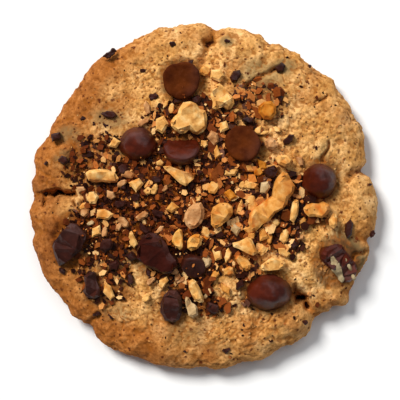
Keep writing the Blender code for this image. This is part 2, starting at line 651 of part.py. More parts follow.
def make_bits(bits):
    """Small nut and chocolate pieces, sunk a little into the dough."""
    for index, (place, length, width, turn) in enumerate(PLACED_BITS + spread_bits()):
        rng = random.Random(BIT_SEED + index)
        height = BIT_HEIGHT * width
        lean = rng.uniform(-BIT_LEAN, BIT_LEAN)
        bm = shard_mesh(bit_outline(length, width, rng), height, rng)
        turned = Matrix.Rotation(math.radians(turn), 4, "Z")
        bmesh.ops.transform(bm, matrix=placed(place, BIT_LIFT * height, turn, lean) @ turned, verts=bm.verts)
        add_object(f"bit_{index}", bm, bits)


def main():
    for old in list(bpy.data.objects):
        bpy.data.objects.remove(old)
    cookie = new_collection("chocolate_chip_cookie")
    pockets = new_collection("pockets")
    bits = new_collection("bits")
    dough = make_dough(cookie)
    make_toppings(cookie, pockets)
    make_bits(bits)
    combine(dough, bits, "UNION")
    combine(dough, pockets, "DIFFERENCE")
    keep_largest_shell(dough)
    finish(dough, DOUGH_COLOUR, 0.85, 50)


main()
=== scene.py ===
"""Looks of a baked chocolate chip cookie with chopped nuts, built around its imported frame.

Lengths are in millimetres until a piece is finished, and MM turns them into metres. The dough's form, and the
places, sizes and turns of the toppings, repeat those of the part's own source.
"""

import json
import math
import random

import bmesh
import bpy
import numpy as np
from mathutils import Matrix, Vector, noise
from mathutils.bvhtree import BVHTree

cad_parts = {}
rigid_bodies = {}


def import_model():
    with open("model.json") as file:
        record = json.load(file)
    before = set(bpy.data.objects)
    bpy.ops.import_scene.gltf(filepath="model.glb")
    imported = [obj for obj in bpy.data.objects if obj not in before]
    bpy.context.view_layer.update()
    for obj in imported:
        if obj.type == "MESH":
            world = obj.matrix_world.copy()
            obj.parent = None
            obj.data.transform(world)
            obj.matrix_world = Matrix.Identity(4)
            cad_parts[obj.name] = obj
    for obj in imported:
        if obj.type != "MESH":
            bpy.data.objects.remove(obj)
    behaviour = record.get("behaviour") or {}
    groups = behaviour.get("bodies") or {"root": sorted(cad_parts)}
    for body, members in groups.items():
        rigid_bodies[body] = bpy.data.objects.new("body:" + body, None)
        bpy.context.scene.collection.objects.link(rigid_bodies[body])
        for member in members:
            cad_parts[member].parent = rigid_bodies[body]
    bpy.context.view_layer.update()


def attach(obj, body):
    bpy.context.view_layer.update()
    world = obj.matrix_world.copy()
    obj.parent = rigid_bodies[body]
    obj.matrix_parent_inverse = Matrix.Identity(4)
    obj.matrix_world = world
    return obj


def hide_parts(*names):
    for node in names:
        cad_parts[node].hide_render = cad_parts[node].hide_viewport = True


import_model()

MM = 0.001
BODY = "root"

# Where each kind of piece starts its random draws
SHARD_SEED = 100
BIT_SEED = 400
FLAKE_SEED = 600
GRAIN_SEED = 900
MEAL_SEED = 77

# The dough's form
RIM_RADIUS = 42.5
MIDDLE_HEIGHT = 11.2
SHOULDER_HEIGHT = 8.0
WIDEST_HEIGHT = 3.8
SHOULDER_INSET = 6.5
FOOT_INSET = 2.6
BASE_SINK = 0.35
LUMP_SPACING = 7.5
LUMP_HEIGHT = 0.55
CRAG_SPACING = 3.6
CRAG_HEIGHT = 0.34

# Levels of the noise at which the lumps, the crags and the wandering of the cracks are read
LUMP_LEVEL = 3.0
CRAG_LEVEL = 40.0
WANDER_LEVELS = (60.0, 80.0)

# Swells and dips of the rim: angle, half width of its stretch, both in degrees, and how far it swells
RIM_SWELLS = [
    (56, 44, -0.8),
    (42, 4, 0.7),
    (67, 4, -0.9),
    (80, 4, -0.6),
    (85.5, 4.5, -1.3),
    (8, 4, -0.6),
    (28, 4, -0.6),
    (92, 4, 0.5),
    (101, 4, -0.5),
    (104, 14, 0.7),
    (128, 48, -1.05),
    (128, 12, 0.8),
    (141, 9, -0.5),
    (150, 14, -0.9),
    (160, 6, -1.0),
    (167, 8, 0.5),
    (172, 4, -0.7),
    (180, 5, -0.7),
    (186, 3, 0.5),
    (192, 3, -0.7),
    (204, 26, 1.35),
    (222, 4, 0.7),
    (229, 3, -1.0),
    (237, 17, 1.3),
    (255, 8, 0.4),
    (269, 5, -0.9),
    (275, 34, 0.3),
    (283, 7, -0.7),
    (298, 9, -0.5),
    (313, 8, -1.9),
    (323, 4, 1.6),
    (339, 8, 0.8),
    (320, 3, -0.7),
    (345, 3, -1.2),
    (354, 8, 0.3),
    (12, 14, -1.8),
    (9, 3, -1.4),
]

# Cracks and valleys of the top: both ends, half width and depth
CRACKS = [
    ((-43.0, 1.2), (-37.3, 0.4), 1.1, 1.1),
    ((-38.6, 0.1), (-35.0, 0.7), 1.3, 2.0),
    ((-36.0, 0.7), (-31.6, 0.4), 1.4, 2.9),
    ((-39.2, -1.8), (-38.9, 0.2), 1.1, 1.6),
    ((-32.6, -0.2), (-31.4, -2.6), 1.1, 1.3),
    ((2.6, 43.0), (1.4, 37.6), 2.6, 1.4),
    ((1.6, 38.6), (-0.5, 33.0), 1.9, 1.2),
    ((5.0, 41.2), (3.6, 38.4), 1.1, 0.7),
    ((22.8, -23.4), (23.6, -25.2), 2.0, 4.4),
    ((23.6, -25.0), (25.4, -27.6), 1.6, 3.4),
    ((25.2, -27.4), (29.2, -30.2), 1.9, 2.0),
    ((18.6, 31.6), (10.6, 26.6), 1.3, 1.1),
    ((29.9, 24.9), (27.6, 22.4), 0.8, 0.8),
    ((29.8, 12.6), (29.0, 8.4), 0.9, 1.0),
    ((41.5, 7.6), (35.4, 4.9), 1.7, 0.8),
    ((42.0, -13.0), (36.6, -15.0), 1.3, 1.2),
    ((-30.0, -33.0), (-26.0, -29.0), 1.5, 0.9),
]

# Cracks wander to either side of their lines, in waves of this spacing
CRACK_WANDER = 1.1
CRACK_WAVES = 2.6

# Mounds of the top: middle, half lengths along x and y, and height
MOUNDS = [
    ((26.5, -17.0), (7.0, 6.0), 0.9),
    ((20.5, -31.5), (6.5, 4.0), 0.9),
    ((-36.0, -5.5), (5.5, 6.0), 0.9),
    ((-36.0, 7.0), (5.0, 5.0), 0.5),
    ((-33.8, 11.4), (2.6, 2.2), 0.9),
    ((31.0, 19.5), (9.0, 8.0), 0.8),
    ((9.5, 36.0), (7.0, 5.5), 0.6),
    ((-6.5, 36.0), (7.0, 6.0), 0.6),
    ((-9.0, -35.0), (9.0, 6.0), 0.5),
    ((11.0, -34.5), (8.0, 6.0), 0.5),
    ((37.5, -2.5), (5.0, 7.5), 0.7),
]

# Fine crumb of the dough: spacing and height of its grains, and of the softer waves under them
CRUMB_LAYERS = [(1.6, 0.17), (0.9, 0.13)]
WAVE_LAYERS = [(3.2, 0.28), (1.6, 0.18), (0.8, 0.10), (0.45, 0.06)]

# Fine cracks between lumps of the crust: spacing, half width as a share of it, depth and how far they wander,
# in waves of another spacing
CRAZE_SPACING = 5.2
CRAZE_WIDTH = 0.07
CRAZE_DEPTH = 0.32
CRAZE_WANDER = 1.6
CRAZE_WAVES = 2.2

# Pits of the crust, and how far the base's own unevenness reaches
PIT_SPACING = 2.4
PIT_DEPTH = 0.22
BASE_RELIEF = 0.35

# The dough is a ball of this many rounds of subdivision, thinned to a share of its faces. Its top and its rim
# take these shares of the ball's height
DOUGH_FINENESS = 8
DOUGH_KEPT = 0.57
TOP_SHARE = 0.7
RIM_SHARE = 0.2

# The side of the cookie painted palest, in degrees: it baked least and stands for the lit side, and the
# colour turns browner and holds painted shade towards the opposite side
PALE_AND_LIT_SIDE = 38

# Stretches of the top painted browner, partly baked browning and partly painted shade of the rim: angle and
# half width in degrees, the shares of the way out at which the browning starts and is full, and its strength
BROWN_STRETCHES = [
    (140, 40, 0.8, 0.95, 0.6),
    (38, 42, 0.3, 0.6, 0.15),
    (148, 32, 0.5, 0.8, 0.25),
]

# Stretches of the rim painted dark, partly baked crust and partly painted shade, and one left paler: angle
# and half width in degrees, strength
DARK_STRETCHES = [(140, 26, 0.55), (190, 44, 0.8), (228, 22, 0.3)]
PALE_STRETCH = (-75, 50, 0.45)

# Chips: name, place, lengths along x and y, height, how high the middle sits over the dough, lean from base
# down, and heading
CHIPS = [
    ("chip_top", (-5.4, 28.0), 8.8, 9.1, 5.4, 0.5, 176, 60),
    ("chip_left", (-15.6, 12.1), 9.3, 8.5, 5.6, 0.9, 16, -40),
    ("chip_middle", (-5.3, 10.5), 8.8, 8.8, 4.4, -0.3, 134, -88),
    ("chip_inner_right", (9.4, 12.4), 8.5, 9.0, 5.4, 0.6, 170, -70),
    ("chip_right", (28.1, 3.9), 8.8, 9.0, 6.8, 1.2, 14, 40),
    ("chip_lower_right", (15.2, -23.2), 11.4, 8.8, 6.2, 1.1, 12, 170),
    ("chip_broken", (-2.9, -16.6), 5.4, 6.2, 4.2, 0.6, 150, 120),
]

# Chunks of broken chocolate: name, height, how high the middle sits over the dough, lean, the way it leans,
# and outline seen from above
CHUNKS = [
    ("chip_lower_left", 3.6, 0.6, 8, 200, [
        (-29.0, -19.2), (-27.5, -18.2), (-26.3, -18.2), (-25.8, -20.4), (-25.1, -22.6), (-25.1, -24.3),
        (-26.5, -25.1), (-28.0, -24.6), (-29.2, -23.3), (-28.7, -21.4),
    ]),
    ("chip_lower", 4.8, 1.3, 14, 228, [
        (-15.6, -10.9), (-14.3, -9.2), (-13.2, -8.5), (-11.5, -8.6), (-10.0, -9.9), (-8.5, -11.6),
        (-8.0, -13.4), (-6.2, -15.2), (-6.1, -16.8), (-7.2, -18.2), (-9.6, -18.7), (-12.0, -17.8),
        (-14.5, -16.6), (-16.1, -15.0), (-16.2, -12.8),
    ]),
    ("chip_bottom", 4.4, 1.1, 12, 250, [
        (-8.5, -22.5), (-6.6, -22.3), (-5.4, -23.9), (-5.1, -26.0), (-5.2, -28.2), (-6.0, -30.0),
        (-7.5, -30.7), (-9.4, -30.0), (-10.6, -27.9), (-10.5, -25.3), (-9.6, -23.5),
    ]),
    ("chunk_left", 5.0, 1.0, 12, 230, [
        (-32.0, -6.1), (-30.5, -6.5), (-29.0, -8.0), (-28.1, -9.0), (-28.2, -10.4), (-29.0, -11.5),
        (-29.7, -13.1), (-31.6, -14.8), (-33.6, -16.2), (-35.3, -17.3), (-36.3, -14.9), (-37.0, -12.3),
        (-36.2, -10.7), (-34.5, -8.7), (-33.2, -7.3),
    ]),
    ("chunk_left_crumb", 3.0, 0.6, 8, 15, [
        (-25.3, -11.5), (-24.1, -10.3), (-22.6, -10.3), (-21.9, -11.5), (-22.4, -13.0), (-24.1, -13.8),
        (-25.3, -13.0),
    ]),
    ("chunk_right_rim", 4.4, -0.9, 24, -27, [
        (27.3, -13.6), (28.0, -12.1), (29.8, -11.7), (31.5, -11.1), (33.0, -11.5), (34.2, -13.3),
        (35.4, -14.5), (36.6, -16.2), (37.3, -18.0), (36.9, -19.8), (35.4, -21.2), (33.8, -21.2),
        (32.4, -20.0), (31.4, -18.7), (29.8, -17.4), (28.5, -16.2), (27.5, -15.0),
    ]),
    ("chunk_bottom", 2.8, 0.9, 10, -60, [
        (0.9, -25.5), (2.0, -25.8), (3.4, -26.3), (3.7, -28.3), (2.5, -28.5), (0.8, -27.7), (0.2, -26.8),
    ]),
    ("chunk_upper", 2.6, 0.9, 10, 20, [
        (8.9, 18.4), (10.3, 19.2), (12.0, 18.8), (12.1, 17.4), (10.7, 17.4), (9.4, 17.5),
    ]),
]

# Large nut pieces: name, height, how high the middle sits over the dough, lean, the way it leans, and outline
NUTS = [
    ("nut_lobed", 4.2, 1.1, 5, 10, [
        (-5.2, 22.6), (-3.4, 22.9), (-2.0, 22.4), (-1.0, 21.1), (0.4, 20.6), (0.8, 19.2), (0.7, 16.4),
        (-0.2, 15.2), (-1.6, 14.6), (-2.7, 14.9), (-3.7, 15.8), (-4.7, 15.0), (-5.9, 14.8), (-7.1, 15.5),
        (-8.1, 16.6), (-8.3, 17.7), (-7.6, 18.9), (-6.6, 19.7), (-6.3, 21.0),
    ]),
    ("nut_heart", 3.8, 0.9, 6, 65, [
        (2.1, 25.8), (2.7, 26.8), (3.7, 27.2), (4.9, 26.0), (5.9, 24.8), (7.1, 23.6), (7.4, 22.1),
        (6.6, 20.9), (5.7, 20.6), (4.7, 21.4), (3.7, 21.1), (2.9, 20.6), (1.9, 20.9), (1.9, 22.6),
        (1.4, 23.8), (1.7, 25.0),
    ]),
    ("nut_bar", 4.4, 1.3, 5, -40, [
        (17.9, 5.2), (18.9, 6.1), (20.1, 5.7), (20.9, 4.2), (21.9, 2.5), (21.5, 0.6), (20.3, -0.5),
        (20.0, -2.0), (18.9, -3.2), (17.0, -4.2), (15.7, -5.9), (14.0, -6.9), (12.5, -8.5), (11.1, -8.5),
        (10.3, -6.6), (10.6, -4.4), (11.8, -2.9), (13.5, -2.0), (15.0, -0.7), (16.4, 0.0), (16.6, 2.0),
        (17.0, 3.7),
    ]),
    ("nut_wedge", 4.2, 1.3, 10, 200, [
        (2.2, -2.5), (3.9, -1.5), (5.9, -1.5), (7.1, -2.5), (7.1, -4.2), (6.1, -5.7), (4.4, -7.1),
        (2.7, -8.1), (1.7, -6.9), (1.7, -3.9),
    ]),
    ("nut_brown", 3.8, 1.0, 6, 180, [
        (-4.4, -3.9), (-3.4, -2.5), (-2.0, -1.7), (-0.5, -1.5), (0.2, -2.9), (0.2, -5.2), (-0.5, -6.6),
        (-1.7, -7.7), (-3.3, -8.2), (-4.3, -7.1), (-5.0, -5.7),
    ]),
    ("nut_yellow", 3.4, 1.4, 8, 20, [
        (-4.2, -11.0), (-3.6, -9.9), (-2.5, -9.2), (-1.2, -9.2), (-0.5, -10.1), (-0.7, -11.8),
        (-1.7, -12.8), (-3.2, -13.3), (-4.1, -12.6),
    ]),
    ("nut_orange_lower", 3.2, 1.3, 8, 180, [
        (-7.6, -10.1), (-6.9, -8.8), (-5.9, -7.7), (-5.2, -8.1), (-5.1, -10.1), (-5.0, -12.4), (-5.7, -13.0),
        (-6.9, -12.0), (-7.6, -11.1),
    ]),
    ("nut_pebble_upper", 3.2, 1.2, 8, 30, [
        (6.6, -11.3), (8.6, -10.8), (10.3, -9.8), (11.3, -10.3), (12.0, -12.0), (12.8, -13.7), (11.8, -14.5),
        (10.1, -13.9), (8.4, -12.9), (6.9, -12.3),
    ]),
    ("nut_pebble_lower", 3.2, 1.0, 8, 200, [
        (7.9, -14.2), (8.6, -14.2), (10.7, -15.2), (11.5, -16.5), (11.2, -17.7), (10.3, -18.2), (9.3, -17.4),
        (8.1, -16.2), (7.5, -15.1),
    ]),
    ("nut_curved", 3.0, 1.2, 6, 10, [
        (13.5, -16.7), (14.5, -16.0), (15.5, -15.2), (17.0, -15.0), (18.7, -15.2), (19.7, -16.2),
        (19.4, -17.4), (17.9, -17.8), (15.7, -18.0), (14.2, -18.1), (13.5, -17.6),
    ]),
    ("nut_right", 3.6, 1.1, 8, -80, [
        (23.8, -2.9), (24.6, -2.1), (26.0, -1.6), (27.8, -1.8), (29.2, -1.3), (30.2, -2.0), (30.4, -3.2),
        (29.6, -4.4), (28.5, -5.4), (26.8, -4.9), (25.1, -4.9), (24.1, -3.9),
    ]),
    ("nut_right_oval", 2.8, 1.0, 6, 80, [
        (30.8, -4.7), (31.4, -4.0), (32.1, -4.9), (32.1, -7.1), (31.4, -8.1), (30.4, -7.4), (30.1, -5.9),
    ]),
    ("nut_flat_left", 3.0, 1.1, 10, -90, [
        (-28.7, 5.7), (-27.8, 6.4), (-25.6, 6.6), (-23.1, 6.4), (-21.4, 5.7), (-20.4, 4.4), (-20.9, 3.3),
        (-22.6, 3.2), (-24.6, 3.5), (-26.5, 3.4), (-28.0, 3.9),
    ]),
    ("nut_triangle", 3.2, 0.9, 7, 60, [
        (-10.0, 7.0), (-8.4, 7.2), (-6.6, 6.4), (-4.9, 5.8), (-3.2, 5.5), (-1.7, 5.5), (-2.5, 3.9),
        (-3.7, 2.9), (-4.4, 2.2), (-5.7, 2.7), (-7.1, 4.0), (-8.6, 5.4), (-9.6, 6.2),
    ]),
    ("nut_orange_upper", 3.4, 0.7, 6, 80, [
        (13.0, 21.6), (14.3, 22.6), (16.2, 22.9), (17.4, 21.6), (17.4, 19.7), (16.2, 18.2), (14.3, 18.4),
        (13.0, 19.9),
    ]),
    ("nut_upper_right", 3.2, 0.9, 8, 15, [
        (16.9, 9.1), (18.0, 9.8), (19.9, 9.8), (21.4, 8.8), (20.9, 7.4), (19.4, 6.9), (17.7, 7.7),
    ]),
    ("nut_brown_upper", 3.0, 0.6, 6, 95, [
        (14.6, 13.3), (15.7, 14.3), (17.2, 13.5), (17.8, 12.0), (16.7, 10.8), (15.3, 11.3), (14.6, 12.1),
    ]),
    ("nut_thin", 3.0, 1.1, 6, 0, [
        (21.2, -1.5), (21.8, -0.8), (22.6, -0.9), (22.8, -2.7), (22.4, -4.7), (21.5, -6.6), (20.5, -5.9),
        (20.8, -3.4),
    ]),
    ("nut_pale_upper", 3.2, 1.5, 8, -30, [
        (-3.9, -20.4), (-2.9, -19.8), (-2.0, -20.4), (-1.0, -22.4), (-0.2, -24.3), (0.0, -25.6),
        (-1.2, -25.7), (-2.4, -25.0), (-3.1, -23.8), (-3.8, -22.1),
    ]),
    ("nut_pale_lower", 3.2, 1.2, 8, 100, [
        (-4.4, -24.3), (-3.6, -24.6), (-3.0, -25.7), (-2.0, -26.4), (-1.4, -27.2), (-1.4, -28.9),
        (-2.6, -29.6), (-3.7, -29.2), (-4.2, -27.2), (-4.6, -25.5),
    ]),
]

# What each topping is made of
LOOKS = {
    "chip_top": "matte",
    "chip_left": "satin",
    "chip_middle": "satin",
    "chip_inner_right": "matte",
    "chip_right": "satin",
    "chip_lower_right": "satin",
    "chip_bottom": "cut",
    "chip_broken": "cut",
    "chip_lower_left": "cut",
    # chip_lower's darker chocolate paints the shade on its face turned away from the light
    "chip_lower": "dark",
    "chunk_left": "cut",
    "chunk_left_crumb": "cut",
    "chunk_right_rim": "satin",
    "chunk_bottom": "cut",
    "chunk_upper": "cut",
    "nut_lobed": "pale",
    "nut_heart": "pale",
    "nut_bar": "golden",
    "nut_wedge": "golden",
    "nut_brown": "brown",
    "nut_yellow": "yellow",
    "nut_orange_lower": "yellow",
    "nut_pebble_upper": "pale",
    "nut_pebble_lower": "golden",
    "nut_curved": "pale",
    "nut_right": "golden",
    "nut_right_oval": "pale",
    "nut_flat_left": "pale",
    "nut_triangle": "pale",
    "nut_orange_upper": "orange",
    "nut_upper_right": "pale",
    "nut_brown_upper": "brown",
    "nut_thin": "pale",
    "nut_pale_upper": "pale",
    "nut_pale_lower": "white",
}

# Painted sheen on chocolate, a greyish highlight painted into the colour towards one side: the side of the
# piece, in degrees, and how strong it is
PAINTED_SHEEN = {
    "chip_top": (-10, 0.45),
    "chip_left": (105, 1.0),
    "chip_middle": (-75, 0.9),
    "chip_inner_right": (-20, 0.4),
    "chip_right": (48, 0.9),
    "chip_lower_right": (70, 0.3),
    "chip_bottom": (70, 0.7),
    "chip_broken": (20, 0.5),
    "chip_lower_left": (100, 0.4),
    "chip_lower": (50, 0.8),
    "chunk_left": (75, 0.9),
    "chunk_left_crumb": (60, 0.5),
    "chunk_right_rim": (-60, 0.8),
    "chunk_bottom": (60, 0.9),
    "chunk_upper": (60, 0.6),
}

# Nuts with a browner side, partly the papery brown coat that some keep and partly painted shade on a lower
# side:
# the side of the piece, in degrees, and how strong it is
SKINS_AND_SHADE = {
    "nut_triangle": (62, 0.9),
    "nut_flat_left": (-88, 0.8),
    "nut_right": (-20, 0.5),
    "nut_bar": (5, 0.35),
    "nut_orange_upper": (-110, 0.6),
    "nut_upper_right": (-60, 0.4),
}

# A broken piece: how much narrower its foot is, how far its top slopes and is uneven, and how far its rim is
# worn, the last three as shares of its height
SHARD_FOOT = 0.86
SHARD_SLOPE = 0.10
SHARD_UNEVEN = 0.10
SHARD_WEAR = 0.22

# Ridges between faces that meet more steeply than this stay crisp
RIDGE_ANGLE = math.radians(32)

# A small piece has this many corners, each this far out as a share of its size, and leans up to this angle
BIT_CORNERS = (4, 6)
BIT_REACH = (0.46, 0.56)
BIT_WANDER = 0.22
BIT_HEIGHT = 0.8
BIT_LIFT = 0.25
BIT_LEAN = 14

# Small pieces placed one by one: place, length, width, turn and kind
PLACED_BITS = [
    ((3.3, 29.2), 4.0, 3.4, -10, "pale"),
    ((-10.3, 17.2), 4.6, 3.4, 70, "pale"),
    ((4.7, 16.7), 3.4, 2.8, 60, "pale"),
    ((14.7, 2.0), 3.8, 2.7, 70, "white"),
    ((6.6, 5.9), 3.6, 2.5, 10, "pale"),
    ((11.8, -2.5), 3.5, 2.7, 80, "pale"),
    ((8.6, -2.9), 4.6, 1.9, 75, "pale"),
    ((7.6, -8.1), 3.4, 2.5, 100, "white"),
    ((3.2, -13.5), 5.0, 2.5, 100, "pale"),
    ((0.5, -16.0), 3.5, 2.7, 80, "white"),
    ((-9.8, -20.9), 3.8, 2.2, 70, "pale"),
    ((-23.1, -23.1), 4.7, 2.4, 115, "pale"),
    ((-17.4, -10.6), 4.4, 2.1, 110, "pale"),
    ((-27.0, -0.5), 3.5, 2.9, 70, "pale"),
    ((-24.1, -4.4), 4.7, 2.7, -5, "pale"),
    ((2.0, 5.7), 3.9, 2.5, 75, "orange"),
    ((6.4, 0.2), 3.4, 2.8, -15, "orange"),
    ((2.2, 2.0), 3.9, 2.8, 60, "golden"),
    ((-7.6, -2.9), 3.9, 2.8, 5, "golden"),
    ((19.4, -9.8), 3.4, 2.4, 80, "pale"),
    ((-21.6, -16.7), 3.4, 2.9, 80, "chocolate"),
    ((7.6, 29.0), 3.6, 2.6, 60, "chocolate"),
    ((18.2, 24.3), 4.4, 2.0, 100, "chocolate"),
    ((35.1, -7.9), 4.7, 2.2, 80, "chocolate"),
    ((-22.9, 19.7), 4.4, 1.9, -10, "chocolate"),
    ((-35.9, 14.4), 3.0, 2.6, 60, "chocolate"),
    ((-34.2, 8.7), 2.8, 2.2, -20, "chocolate"),
    ((18.7, 31.2), 2.9, 2.5, 20, "chocolate"),
]

# Small pieces spread by a rule over the middle, and the kinds that they take in turn
SPREAD_MIDDLE = (-2.0, -0.5)
SPREAD_HALF_LENGTHS = (28.0, 24.0)
SPREAD_SEED = 11
SPREAD_COUNT = 60
SPREAD_TRIES = 3000
SPREAD_LARGEST = 4.0
SPREAD_SMALLEST = 2.0
SPREAD_WIDTHS = (0.45, 0.85)
SPREAD_REACH = 0.42
SPREAD_KINDS = ["pale", "golden", "chocolate", "golden", "pale", "brown", "chocolate", "pale", "orange"]
SPREAD_KINDS_LEFT = ["brown", "chocolate", "pale", "chocolate", "brown", "chocolate", "brown"]
LEFT_OF = -8.0

# More small pieces on top of the meal, placed one by one: place, length, width, turn and kind
LOOSE_BITS = [
    ((-7.9, 21.1), 2.9, 1.6, 80, "pale"),
    ((0.2, 30.2), 3.0, 2.6, 0, "golden"),
    ((11.1, 2.5), 3.2, 2.0, 10, "pale"),
    ((11.1, -0.9), 2.6, 2.4, 0, "pale"),
    ((5.7, -14.3), 3.7, 1.7, 80, "pale"),
    ((15.7, -10.1), 3.7, 1.5, 85, "golden"),
    ((17.2, -6.4), 2.1, 1.9, 0, "pale"),
    ((11.5, -9.6), 2.0, 1.6, 0, "golden"),
    ((14.5, -13.3), 2.8, 1.3, 45, "pale"),
    ((-6.4, -19.6), 2.2, 1.5, 60, "brown"),
    ((-12.8, -20.6), 2.6, 1.5, 45, "brown"),
    ((-14.0, -24.6), 2.6, 1.6, 50, "pale"),
    ((-29.2, -2.5), 2.2, 1.6, 30, "pale"),
    ((-24.1, -8.8), 2.9, 1.5, 85, "brown"),
    ((-27.5, -6.6), 1.8, 1.2, 20, "white"),
    ((-18.4, 5.2), 3.4, 2.0, -15, "brown"),
    ((14.3, 15.2), 3.0, 0.9, 15, "pale"),
    ((16.2, 5.9), 3.4, 3.0, 20, "chocolate"),
    ((13.0, 5.7), 2.5, 2.0, 30, "orange"),
    ((0.5, -24.0), 2.4, 0.9, 60, "white"),
    ((-19.8, 3.0), 3.0, 1.7, 30, "brown"),
    ((-30.5, -11.0), 3.2, 1.2, 15, "chocolate"),
    ((-20.6, -7.4), 2.6, 1.3, 60, "brown"),
    ((-14.6, -4.6), 2.6, 1.8, 20, "brown"),
    ((-12.0, 1.6), 2.8, 1.6, 70, "pale"),
    ((-16.5, -0.4), 3.0, 2.2, 20, "chocolate"),
]
LOOSE_LIFT = 0.7

# Flakes of chocolate pressed into the dough: place, length, width and turn
FLAKES = [
    ((-22.9, 34.4), 4.9, 1.7, 32),
    ((-14.5, 30.5), 2.2, 1.5, 0),
    ((-7.6, 36.9), 1.5, 1.2, 0),
    ((-2.9, 32.5), 2.1, 1.7, 30),
    ((-12.3, 24.1), 3.0, 1.6, 10),
    ((5.4, 37.6), 1.7, 1.2, 0),
    ((25.6, 31.7), 1.3, 1.0, 0),
    ((41.0, -9.3), 2.4, 1.1, 60),
    ((40.5, 2.7), 1.1, 0.8, 80),
    ((24.6, -30.7), 1.5, 1.1, 0),
    ((9.8, -31.4), 1.7, 1.2, 0),
    ((5.2, -37.6), 1.8, 1.2, 20),
    ((-4.7, -37.8), 1.2, 1.0, 0),
    ((-22.6, -29.5), 2.8, 0.8, -42),
    ((-26.3, -28.7), 1.8, 1.4, 40),
    ((-34.4, -18.2), 2.2, 1.5, -30),
    ((-38.5, 7.8), 1.3, 1.0, 90),
    ((-39.0, 0.9), 1.6, 0.9, 0),
    ((-29.3, 12.4), 2.4, 1.4, 100),
    ((-28.0, 10.5), 2.3, 1.4, -25),
    ((-23.4, 16.7), 2.6, 1.3, -25),
    ((-23.6, 15.6), 1.2, 0.9, 0),
    ((-26.6, 17.5), 1.5, 1.0, -40),
    ((-29.4, 19.0), 1.5, 1.0, -20),
    ((9.7, 24.3), 1.7, 1.4, 0),
    ((7.9, 24.4), 1.4, 1.2, 0),
    ((26.6, -24.3), 1.0, 0.8, 0),
    ((-7.5, 25.0), 1.2, 0.8, 0),
]

# Unevenness of each kind of piece, as layers of noise of a spacing and a height, and the distance between its
# points
CHIP_LAYERS = [(3.4, 0.42), (1.3, 0.14), (0.6, 0.06)]
CHUNK_LAYERS = [(2.6, 0.16), (1.0, 0.10), (0.5, 0.05)]
NUT_LAYERS = [(2.4, 0.10), (0.9, 0.06), (0.45, 0.04)]
BIT_LAYERS = [(1.2, 0.12), (0.5, 0.07)]
FLAKE_LAYERS = [(1.0, 0.5), (0.5, 0.3)]
STREAK_LAYERS = [(2.4, 0.5), (0.9, 0.2), (0.4, 0.06)]
CHUNK_POINTS = 0.24
NUT_POINTS = 0.22
BIT_POINTS = 0.18
FLAKE_POINTS = 0.16

# A turned chip: how full its sides and its tip are, and its underside as shares of its length and height
CHIP_SIDES = 0.85
CHIP_TIP = 1.15
CHIP_STEPS = 22
CHIP_TURNS = 60
CHIP_UNDERSIDE = [(0.492, 0.055), (0.46, 0.02), (0.43, 0.004), (0.40, 0.0), (0.30, 0.01), (0.15, 0.025)]

# Chocolate with crumbs on it: place, reach and how thickly they lie
CRUMBED = [
    ((-2.9, -16.6), 3.2, 1.0),
    ((-3.4, 8.6), 2.6, 0.8),
    ((9.2, 9.2), 3.0, 0.6),
    ((-15.0, 8.6), 2.6, 0.5),
    ((-5.2, 24.8), 2.0, 0.3),
    ((-7.6, -26.0), 3.0, 0.7),
]

# Dough drawn over the chunk at the right rim: place, length, width and turn
DOUGH_STREAKS = [
    ((32.2, -17.6), 7.8, 2.2, -64),
    ((35.8, -17.6), 5.4, 1.0, -62),
    ((36.6, -19.4), 3.0, 0.8, -70),
]

# Where the meal of nuts and chocolate lies: middle, half lengths, turn in degrees and thickness
MEAL_PATCHES = [
    ((-4.0, -1.5), (27.0, 17.0), 0, 1.0),
    ((-1.0, 14.0), (17.0, 11.0), 0, 0.8),
    ((-24.0, -8.0), (10.5, 9.0), 0, 0.9),
    ((20.0, -4.0), (11.0, 11.0), 0, 0.9),
    ((0.0, -20.0), (15.0, 9.5), 0, 0.8),
    ((-24.0, -19.0), (8.0, 8.0), 0, 0.55),
    ((13.0, 23.0), (8.0, 5.5), -10, 0.6),
    ((-25.0, 8.0), (10.0, 8.0), 20, 0.6),
]

# Where the dough rises bare out of the meal: middle, half lengths and turn
BARE_PATCHES = [
    ((6.0, -22.4), (5.5, 4.8), 0),
    ((-11.5, -23.5), (5.0, 3.0), 20),
    ((27.0, -9.8), (5.0, 4.0), 0),
]

# Dough greyed by melted chocolate: middle, half lengths, turn in degrees and strength
SMEARS = [
    ((14.0, 29.5), (8.0, 5.0), -20, 0.6),
    ((19.5, 31.5), (4.0, 3.0), 10, 0.8),
    ((5.4, 37.6), (2.5, 2.0), 0, 0.7),
    ((-22.9, 19.0), (6.0, 3.5), -10, 0.6),
    ((-33.0, 15.0), (4.0, 3.0), 0, 0.6),
    ((-34.0, 9.5), (3.5, 2.5), 0, 0.5),
    ((36.0, -14.0), (4.5, 9.0), 35, 0.9),
    ((29.3, 10.8), (2.0, 4.0), 0, 0.5),
    ((-5.0, -33.5), (7.0, 3.5), 0, 0.3),
    ((-22.0, -27.0), (5.0, 5.0), 0, 0.35),
    ((4.0, -37.0), (4.0, 2.5), 0, 0.25),
    ((14.5, -27.5), (6.0, 3.0), 0, 0.4),
]

# Loose grains repeat this many shapes. From the first of these places along x to the second they grow to
# their full size, and from the first to the third fewer of them are dark
GRAIN_SHAPES = 16
GRAIN_CHANGES = (-16.0, 2.0, 8.0)
LEFT_GRAIN_SIZE = 0.62
LEFT_DARKNESS = 3.2
RIGHT_DARKNESS = 1.4
SMALL_GRAIN_SKEW = 1.6
GRAIN_TRIES = 14
RIM_KEPT_CLEAR = 2.0

